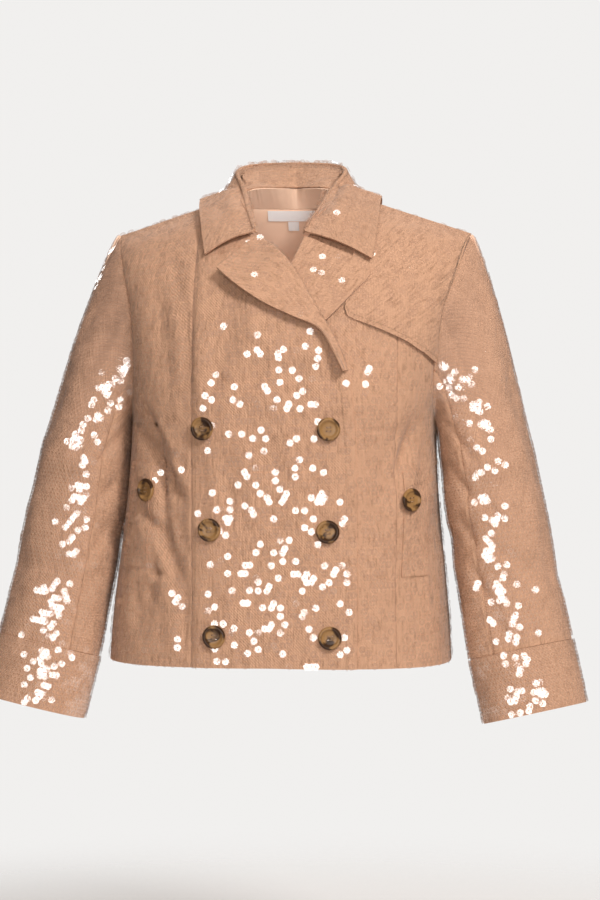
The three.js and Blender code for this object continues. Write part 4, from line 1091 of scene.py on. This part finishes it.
# Geometry Nodes: one sequin on every place, tilted in patches and each a little by itself
def sequinTree():
    tree, given = nodeTree("scatter_sequins", [
        ("Sequin", "Object", None), ("Tilt", "Float", 0.1), ("Patch tilt", "Float", 0.2),
        ("Patch size", "Float", 0.02), ("Top share", "Float", 0.4), ("Top lift", "Float", 0.0005),
        ("Seed", "Int", 1)])
    outward = addNode(tree, "GeometryNodeInputNamedAttribute", data_type="FLOAT_VECTOR",
                      Name="outward").outputs["Attribute"]
    facing = addNode(tree, "FunctionNodeAlignRotationToVector", [("Vector", outward)], axis="Z")

    def turnedBy(rotation, angles):
        turn = addNode(tree, "FunctionNodeEulerToRotation", [(0, angles)])
        return addNode(tree, "FunctionNodeRotateRotation", [
            ("Rotation", rotation), ("Rotate By", turn.outputs[0])], rotation_space="LOCAL").outputs[0]

    position = tree.nodes.new("GeometryNodeInputPosition")
    scale = mathNode(tree, "DIVIDE", 1.0, given.outputs["Patch size"])
    noise = addNode(tree, "ShaderNodeTexNoise", [("Vector", position.outputs[0]), ("Scale", scale)], Detail=1.0)
    centred = vectorNode(tree, "SUBTRACT", noise.outputs["Color"], (0.5, 0.5, 0.5))
    tilted = vectorNode(tree, "SCALE", centred, mathNode(tree, "MULTIPLY", given.outputs["Patch tilt"], 2.0))
    inPatch = turnedBy(facing.outputs[0], vectorNode(tree, "MULTIPLY", tilted, (1, 1, 0)))

    turns = []
    low = mathNode(tree, "MULTIPLY", given.outputs["Tilt"], -1.0)
    for extra in (0, 11):
        value = addNode(tree, "FunctionNodeRandomValue", data_type="FLOAT_VECTOR")
        for place, tilt, spin in ((0, low, -math.pi / 2), (1, given.outputs["Tilt"], math.pi / 2)):
            limit = addNode(tree, "ShaderNodeCombineXYZ", [("X", tilt), ("Y", tilt)], Z=spin)
            tree.links.new(limit.outputs[0], value.inputs[place])
        tree.links.new(mathNode(tree, "ADD", given.outputs["Seed"], extra), value.inputs["Seed"])
        turns.append(value.outputs[0])
    turned = turnedBy(inPatch, vectorNode(tree, "ADD", turns[0], turns[1]))

    # A share of the sequins lies on top of the others, and those are polished
    random = addNode(tree, "FunctionNodeRandomValue", data_type="FLOAT")
    tree.links.new(mathNode(tree, "ADD", given.outputs["Seed"], 29), random.inputs["Seed"])
    toned = storeValue(tree, given.outputs["Geometry"], random.outputs[1], "sequinTone")
    tone = addNode(tree, "GeometryNodeInputNamedAttribute", data_type="FLOAT", Name="sequinTone")
    onTop = mathNode(tree, "LESS_THAN", tone.outputs["Attribute"], given.outputs["Top share"])
    rise = vectorNode(tree, "SCALE", outward, mathNode(tree, "MULTIPLY", onTop, given.outputs["Top lift"]))
    polished = storeValue(tree, toned, onTop, "sequinPolish")
    raised = addNode(tree, "GeometryNodeSetPosition", [("Geometry", polished), ("Offset", rise)])
    placeCopies(tree, given, "Sequin", raised.outputs[0], turned)
    return tree


oneSequin, scatterTree = sequinShape(), sequinTree()


# Sends a mesh through a tree and keeps what comes out as a plain piece
def throughTree(name, mesh, tree, **values):
    carrier = addObject(name + "_carrier", mesh)
    modifier = carrier.modifiers.new("nodes", "NODES")
    modifier.node_group = tree
    for item in tree.interface.items_tree:
        label = item.name.replace(" ", "_")
        if item.item_type == "SOCKET" and item.in_out == "INPUT" and label in values:
            modifier[item.identifier] = values[label]
    graph = bpy.context.evaluated_depsgraph_get()
    finished = bpy.data.meshes.new_from_object(carrier.evaluated_get(graph), depsgraph=graph)
    finished.name = name
    carrier.modifiers.clear()
    bpy.data.objects.remove(carrier)
    return addObject(name, finished)


def addSequins(name, spots, ways, seed):
    kind = "sleeve" if "sleeve" in name or "cuff" in name else "collar" if name == "collar" else "body"
    patchTilt, tilt, topShare = tilts[kind]
    mesh = bpy.data.meshes.new(name + "_places")
    mesh.from_pydata((spots * mm).tolist(), [], [])
    mesh.attributes.new("outward", "FLOAT_VECTOR", "POINT").data.foreach_set("vector", ways.ravel())
    piece = throughTree(
        name + "_sequins", mesh, scatterTree, Sequin=oneSequin, Tilt=math.radians(tilt) / 2,
        Patch_tilt=math.radians(patchTilt), Patch_size=sequins["patchSize"], Top_share=topShare,
        Top_lift=sequins["topLift"] * mm, Seed=sequins["seed"] + seed, Material=sequinLook)
    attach(piece, "root")


def insideOutline(spots, outline):
    inside = np.zeros(len(spots), bool)
    x, z = spots[:, 0], spots[:, 2]
    for (x0, z0), (x1, z1) in zip(outline, outline[1:] + outline[:1]):
        crosses = (z0 > z) != (z1 > z)
        at = (x1 - x0) * (z - z0) / (z1 - z0 + 1e-9) + x0
        inside ^= crosses & (x < at)
    return inside


def lapelOutline(rows, rollInset, edgeInset):
    roll = list(zip(rows["rollX"] + rollInset, rows["rollZ"]))
    edge = list(zip(rows["edgeX"] + edgeInset, rows["edgeZ"] + 3))
    return roll + edge[::-1]


def flapOutline():
    low = list(zip(flapEdge["x"] + 2, flapEdge["z"] + 3))
    return low + [(192, -12), (72, 40)]


def collarOutline(side):
    picked = slice(0, 3) if side < 0 else slice(8, 11)
    edge = list(zip(collarRows["edgeX"][picked] - side * 4, collarRows["edgeZ"][picked] + 4))
    if side < 0:
        return [(-28, -14), *edge, (-85, 60), (-20, 60)]
    return [*edge, (18, -14), (20, 60), (85, 60)]


# Where a piece is covered by another, it carries no sequins
def topFrontKeep(spots):
    underLapel = insideOutline(spots, lapelOutline(leftLapelRows, 8, 3))
    return ~underLapel & ~insideOutline(spots, collarOutline(-1))


def underFrontKeep(spots):
    edge = lookUp(topEdge, "z", spots[:, 2], "x")
    clear = (spots[:, 0] > edge + 3) | (spots[:, 2] > -20)
    for outline in (lapelOutline(rightLapelRows, 0, -3), flapOutline(), collarOutline(1)):
        clear = clear & ~insideOutline(spots, outline)
    return clear


def sideRightKeep(spots):
    return ~insideOutline(spots, flapOutline())


def backKeep(spots):
    return (spots[:, 2] <= 12) | (np.abs(spots[:, 0]) >= 90)


# Sewn cloth pieces with their sequins
def buildCloth():
    grids = {**bodyGrids(), **sleeveGrids()}
    grids["collar"] = collarGrid()
    grids["lapel_left"] = lapelGrid(leftLapelRows, 1, topLift, fronts["leftLapelStand"])
    grids["lapel_right"] = lapelGrid(
        rightLapelRows, -1, lambda x, z: np.zeros(np.shape(x)), fronts["rightLapelStand"])
    grids["storm_flap"] = flapGrid()
    grids["pocket_welt_left"] = weltGrid(-1)
    grids["pocket_welt_right"] = weltGrid(1)
    keeps = {
        "front_centre_left": topFrontKeep, "front_side_left": topFrontKeep,
        "front_centre_right": underFrontKeep, "front_side_right": sideRightKeep,
        "back_left": backKeep, "back_right": backKeep,
    }
    total = 0
    for seed, (name, (seen, hidden)) in enumerate(grids.items()):
        closed = name.startswith("cuff")
        lined = name.startswith(("front", "back", "upper", "under", "cuff"))
        shell = wallMesh(name + "_cloth", seen, hidden, clothLook, satinLook if lined else clothLook, closed)
        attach(shell, "root")
        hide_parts(name)
        outwardCheck = np.sum(gridNormals(seen, closed) * (seen - hidden))
        spots, ways = sequinPlaces(seen, flip=outwardCheck < 0, closed=closed, keep=keeps.get(name))
        addSequins(name, spots, ways, seed)
        total += len(spots)
    print("sequins in all", total)
    return grids


# Stitched lines: the piece, its edge, how far inside the edge, and between which heights
stitch = {"length": 2.8, "spacing": 4.2, "radius": 0.3, "rise": 0.25}
stitchRows = [
    ("front_edge", "front_centre_left", "end", 11, -478, -168),
    ("left_seam", "front_centre_left", "start", 6, -478, -70),
    ("flap_edge", "storm_flap", "lower", 5, -478, 0),
]


def stitchTree():
    tree, given = nodeTree("sew_stitches", [("Stitch", "Object", None), ("Spacing", "Float", 0.004)])
    curve = addNode(tree, "GeometryNodeMeshToCurve", [("Mesh", given.outputs["Geometry"])])
    even = addNode(tree, "GeometryNodeResampleCurve", [
        ("Curve", curve.outputs[0]), ("Length", given.outputs["Spacing"])], mode="LENGTH")
    tangent = tree.nodes.new("GeometryNodeInputTangent")
    turn = addNode(tree, "FunctionNodeAlignRotationToVector", [("Vector", tangent.outputs[0])], axis="Z")
    placeCopies(tree, given, "Stitch", even.outputs[0], turn.outputs[0])
    return tree


# A round bar of thread from one point to another
def threadBar(shape, start, end, radius, segments=8):
    middle = (Vector(start) + Vector(end)) / 2
    way = Vector(end) - Vector(start)
    place = Matrix.Translation(middle) @ way.to_track_quat("Z", "Y").to_matrix().to_4x4()
    bmesh.ops.create_cone(shape, cap_ends=True, segments=segments, radius1=radius, radius2=radius,
                          depth=way.length, matrix=place)


def buildStitches(grids):
    bar = bmesh.new()
    threadBar(bar, (0, 0, -stitch["length"] / 2 * mm), (0, 0, stitch["length"] / 2 * mm),
              stitch["radius"] * mm, 6)
    barMesh = bpy.data.meshes.new("one_stitch")
    bar.to_mesh(barMesh)
    bar.free()
    oneStitch = bpy.data.objects.new("one_stitch", barMesh)
    tree = stitchTree()
    for name, part, edge, distance, low, high in stitchRows:
        seen, hidden = grids[part]
        line = insetLine(seen, edge, distance)
        line = line + unit(line - insetLine(hidden, edge, distance)) * stitch["rise"]
        line = line[(line[:, 2] > low) & (line[:, 2] < high)]
        mesh = bpy.data.meshes.new(name + "_line")
        mesh.from_pydata((line * mm).tolist(), [(index, index + 1) for index in range(len(line) - 1)], [])
        piece = throughTree(name + "_stitches", mesh, tree, Stitch=oneStitch, Spacing=stitch["spacing"] * mm,
                            Material=threadLook)
        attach(piece, "root")
    bpy.data.objects.remove(oneStitch)


def buildLining():
    for name, (seen, hidden), look, slotName, held in (
            ("neck_facing", facingGrid(), satinLook, "neck_satin", "gathered"),
            ("back_lining", backLiningGrid(), satinLook, "neck_satin", "hung"),
            ("neck_label", labelGrid(-2.9, 52, 16.2, 5), labelLook, "woven_label", "laid"),
            ("size_tab", labelGrid(-1.5, 11.8, 4.4, -5.2), labelLook, "woven_label", "laid")):
        piece = wallMesh(name + "_cloth", seen, hidden, look, look)
        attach(piece, "root")
        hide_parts(name)


clothGrids = buildCloth()
buildStitches(clothGrids)
buildLining()

# Buttons
# The last value turns the two crescents of painted shade on the rim
button = {"segments": 64, "hole": 1.0, "holeFrom": 2.0, "threadRadius": 0.34, "threadHeight": 2.9,
          "rimShadeTurn": math.radians(45)}


# A dished button with four holes; the rim attribute carries painted shade: two dark crescents on opposite sides
# of the rim, where its slopes turn from the light
def buttonShape():
    profile = [(9.8, 0), (11.5, 0.5), (12.3, 1.6), (12.5, 2.7), (12.1, 3.7), (11.2, 4.4),
               (10.2, 4.6), (9.3, 4.3), (8.7, 3.5), (7.9, 2.9), (6.4, 2.6), (4.4, 2.5)]
    mesh = bpy.data.meshes.new("button_shape")
    shape = bmesh.new()
    rings = []
    for radius, height in profile:
        rings.append([shape.verts.new(point) for point in ringPoints(radius, button["segments"], height)])
    for low, high in zip(rings, rings[1:]):
        for i in range(len(low)):
            k = (i + 1) % len(low)
            shape.faces.new((low[i], low[k], high[k], high[i]))
    shape.faces.new(rings[0][::-1])
    shape.faces.new(rings[-1])
    # Painted shade on the rim: darkest at two opposite angles, fading in from radius 7 to 11
    rimShade = shape.verts.layers.float.new("hornRim")
    for corner in shape.verts:
        reach = math.hypot(corner.co.x, corner.co.y)
        facing = abs(math.cos(math.atan2(corner.co.y, corner.co.x) - button["rimShadeTurn"]))
        corner[rimShade] = facing ** 3 * min(max((reach - 7) / 4, 0), 1)
    shape.to_mesh(mesh)
    shape.free()
    base = addObject("button_shape", mesh)
    cutters = []
    for dx, dy in ((1, 1), (1, -1), (-1, 1), (-1, -1)):
        cutter = bmesh.new()
        x, y = dx * button["holeFrom"], dy * button["holeFrom"]
        threadBar(cutter, (x, y, -2), (x, y, 6), button["hole"], 16)
        cutMesh = bpy.data.meshes.new("hole")
        cutter.to_mesh(cutMesh)
        cutter.free()
        hole = addObject("hole", cutMesh)
        modifier = base.modifiers.new("hole", "BOOLEAN")
        modifier.operation = "DIFFERENCE"
        modifier.object = hole
        modifier.solver = "EXACT"
        cutters.append(hole)
    graph = bpy.context.evaluated_depsgraph_get()
    finished = bpy.data.meshes.new_from_object(base.evaluated_get(graph), depsgraph=graph)
    for thing in (*cutters, base):
        bpy.data.objects.remove(thing)
    return finished


def buildButtons():
    shape = buttonShape()
    places = [(name, x, z, float(topLift(x, z)) + cloth["restGap"]) for name, (x, z) in buttonPlaces.items()]
    places += [(name, x, z, cloth["restGap"] + cloth["thickness"] + rise)
               for name, (x, z, rise) in pocketButtonPlaces.items()]
    for name, x, z, lift in places:
        level = levelFor(x, z)
        angle = angleForX(x, level)
        normal = Vector(plainNormal("front", angle, level).tolist())
        spot = Vector(panelPoint("front", np.array(x, float), np.array(z, float), lift).tolist())
        turn = normal.to_track_quat("Z", "Y").to_matrix().to_4x4()
        place = Matrix.Scale(mm, 4) @ Matrix.Translation(spot) @ turn
        mesh = shape.copy()
        mesh.transform(place)
        mesh.materials.clear()
        mesh.materials.append(hornLook)
        mesh.shade_smooth()
        mesh.set_sharp_from_angle(angle=math.radians(38))
        piece = addObject(name + "_horn", mesh)
        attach(piece, "root")
        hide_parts(name)
        threads = bmesh.new()
        away, top = button["holeFrom"], button["threadHeight"]
        for dy in (-away, away):
            threadBar(threads, (-away, dy, top), (away, dy, top), button["threadRadius"])
        threadMesh = bpy.data.meshes.new(name + "_thread")
        threads.to_mesh(threadMesh)
        threads.free()
        threadMesh.transform(place)
        threadMesh.materials.append(threadLook)
        threadPiece = addObject(name + "_thread", threadMesh)
        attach(threadPiece, "root")


buildButtons()
print("buttons ready")
bpy.data.objects.remove(oneSequin)

# Stage, lights and camera
scene = bpy.context.scene
stage = {"floorZ": -0.9, "clearRadius": 0.5, "fadeRadius": 1.25, "floor": (0.84, 0.83, 0.82),
         "background": (0.88, 0.868, 0.855), "soft": (1, 0.76, 0.58), "ambient": 0.17, "mirrored": 0.12}


def buildStage():
    mesh = bpy.data.meshes.new("floor")
    shape = bmesh.new()
    bmesh.ops.create_circle(shape, cap_ends=True, segments=96, radius=stage["fadeRadius"] + 0.3)
    shape.to_mesh(mesh)
    shape.free()
    mesh.transform(Matrix.Translation((0, 0, stage["floorZ"])))
    floor = addObject("floor", mesh)
    material, tree, shader = newMaterial("pale_floor")
    split = addNode(tree, "ShaderNodeSeparateXYZ", [(0, objectPlace(tree))])
    squares = mathNode(tree, "ADD", *[mathNode(tree, "MULTIPLY", split.outputs[axis], split.outputs[axis])
                                      for axis in ("X", "Y")])
    fade = addNode(tree, "ShaderNodeMapRange", [("Value", mathNode(tree, "SQRT", squares))],
                   interpolation_type="SMOOTHERSTEP", From_Min=stage["clearRadius"],
                   From_Max=stage["fadeRadius"], To_Min=1, To_Max=0)
    tree.links.new(fade.outputs["Result"], shader.inputs["Alpha"])
    setInputs(shader, Base_Color=(*stage["floor"], 1), Roughness=0.9)
    mesh.materials.append(material)

    # The camera sees the plain background, cloth gets a soft warm light, and sequins mirror a dim sky
    world = bpy.data.worlds.new("studio")
    scene.world = world
    world.use_nodes = True
    tree = world.node_tree
    tree.nodes.clear()
    path = tree.nodes.new("ShaderNodeLightPath")
    seenSky = addNode(tree, "ShaderNodeBackground", Color=(*stage["background"], 1))
    softSky = addNode(tree, "ShaderNodeBackground", Color=(*stage["soft"], 1), Strength=stage["ambient"])
    mirroredSky = addNode(tree, "ShaderNodeBackground", Strength=stage["mirrored"])
    unseen = addNode(tree, "ShaderNodeMixShader", [
        (0, path.outputs["Is Glossy Ray"]), (1, softSky.outputs[0]), (2, mirroredSky.outputs[0])])
    sky = addNode(tree, "ShaderNodeMixShader", [
        (0, path.outputs["Is Camera Ray"]), (1, unseen.outputs[0]), (2, seenSky.outputs[0])])
    addNode(tree, "ShaderNodeOutputWorld", [(0, sky.outputs[0])])


def aim(thing, target):
    way = Vector(target) - thing.location
    thing.rotation_euler = way.to_track_quat("-Z", "Y").to_euler()


def areaLight(name, place, target, width, height, power, mirrored):
    data = bpy.data.lights.new(name, "AREA")
    data.shape = "ELLIPSE"
    data.size = width
    data.size_y = height
    data.energy = power
    lamp = addObject(name, data)
    lamp.location = place
    lamp.visible_glossy = mirrored
    lamp.visible_diffuse = not mirrored
    aim(lamp, target)


view = {"azimuth": 5.5, "elevation": 3.0, "distance": 3.0, "target": (0.011, 0.0, -0.2475), "mmPerPixel": 1.1,
        "imageHeight": 900, "sensor": 36}


def around(azimuth, elevation, distance):
    a, e = math.radians(azimuth), math.radians(elevation)
    way = Vector((math.sin(a) * math.cos(e), -math.cos(a) * math.cos(e), math.sin(e)))
    return Vector(view["target"]) + way * distance


def buildCamera():
    data = bpy.data.cameras.new("camera")
    shownHeight = view["imageHeight"] * view["mmPerPixel"] * mm
    data.sensor_width = view["sensor"]
    data.lens = data.sensor_width * view["distance"] / shownHeight
    camera = addObject("camera", data)
    camera.location = around(view["azimuth"], view["elevation"], view["distance"])
    aim(camera, view["target"])
    scene.camera = camera


# Only the sequins and buttons mirror the sparkle lights, and the others only shade
lights = {
    "sparkle": {"way": (-6, 1), "distance": 3.0, "size": (2.2, 0.8), "power": 48, "mirrored": True},
    "highSparkle": {"way": (-4, 76), "distance": 3.0, "size": (0.5, 0.4), "power": 4.5, "mirrored": True},
    "backSparkle": {"way": (196, 14), "distance": 3.2, "size": (1.8, 0.6), "power": 28, "mirrored": True},
    "key": {"way": (36, 36), "distance": 3.0, "size": (0.7, 0.7), "power": 62, "mirrored": False},
    "above": {"way": (-5, 64), "distance": 3.0, "size": (0.7, 0.7), "power": 10, "mirrored": False},
    "front": {"way": (4, 9), "distance": 3.2, "size": (1.4, 1.0), "power": 33, "mirrored": False},
    "behind": {"way": (185, 45), "distance": 3.2, "size": (1.8, 1.8), "power": 60, "mirrored": False},
}


def buildLights():
    for name, light in lights.items():
        place = around(*light["way"], light["distance"])
        areaLight(name, place, view["target"], *light["size"], light["power"], light["mirrored"])


buildStage()
buildLights()
buildCamera()
scene.view_settings.view_transform = "Standard"
print("stage ready")
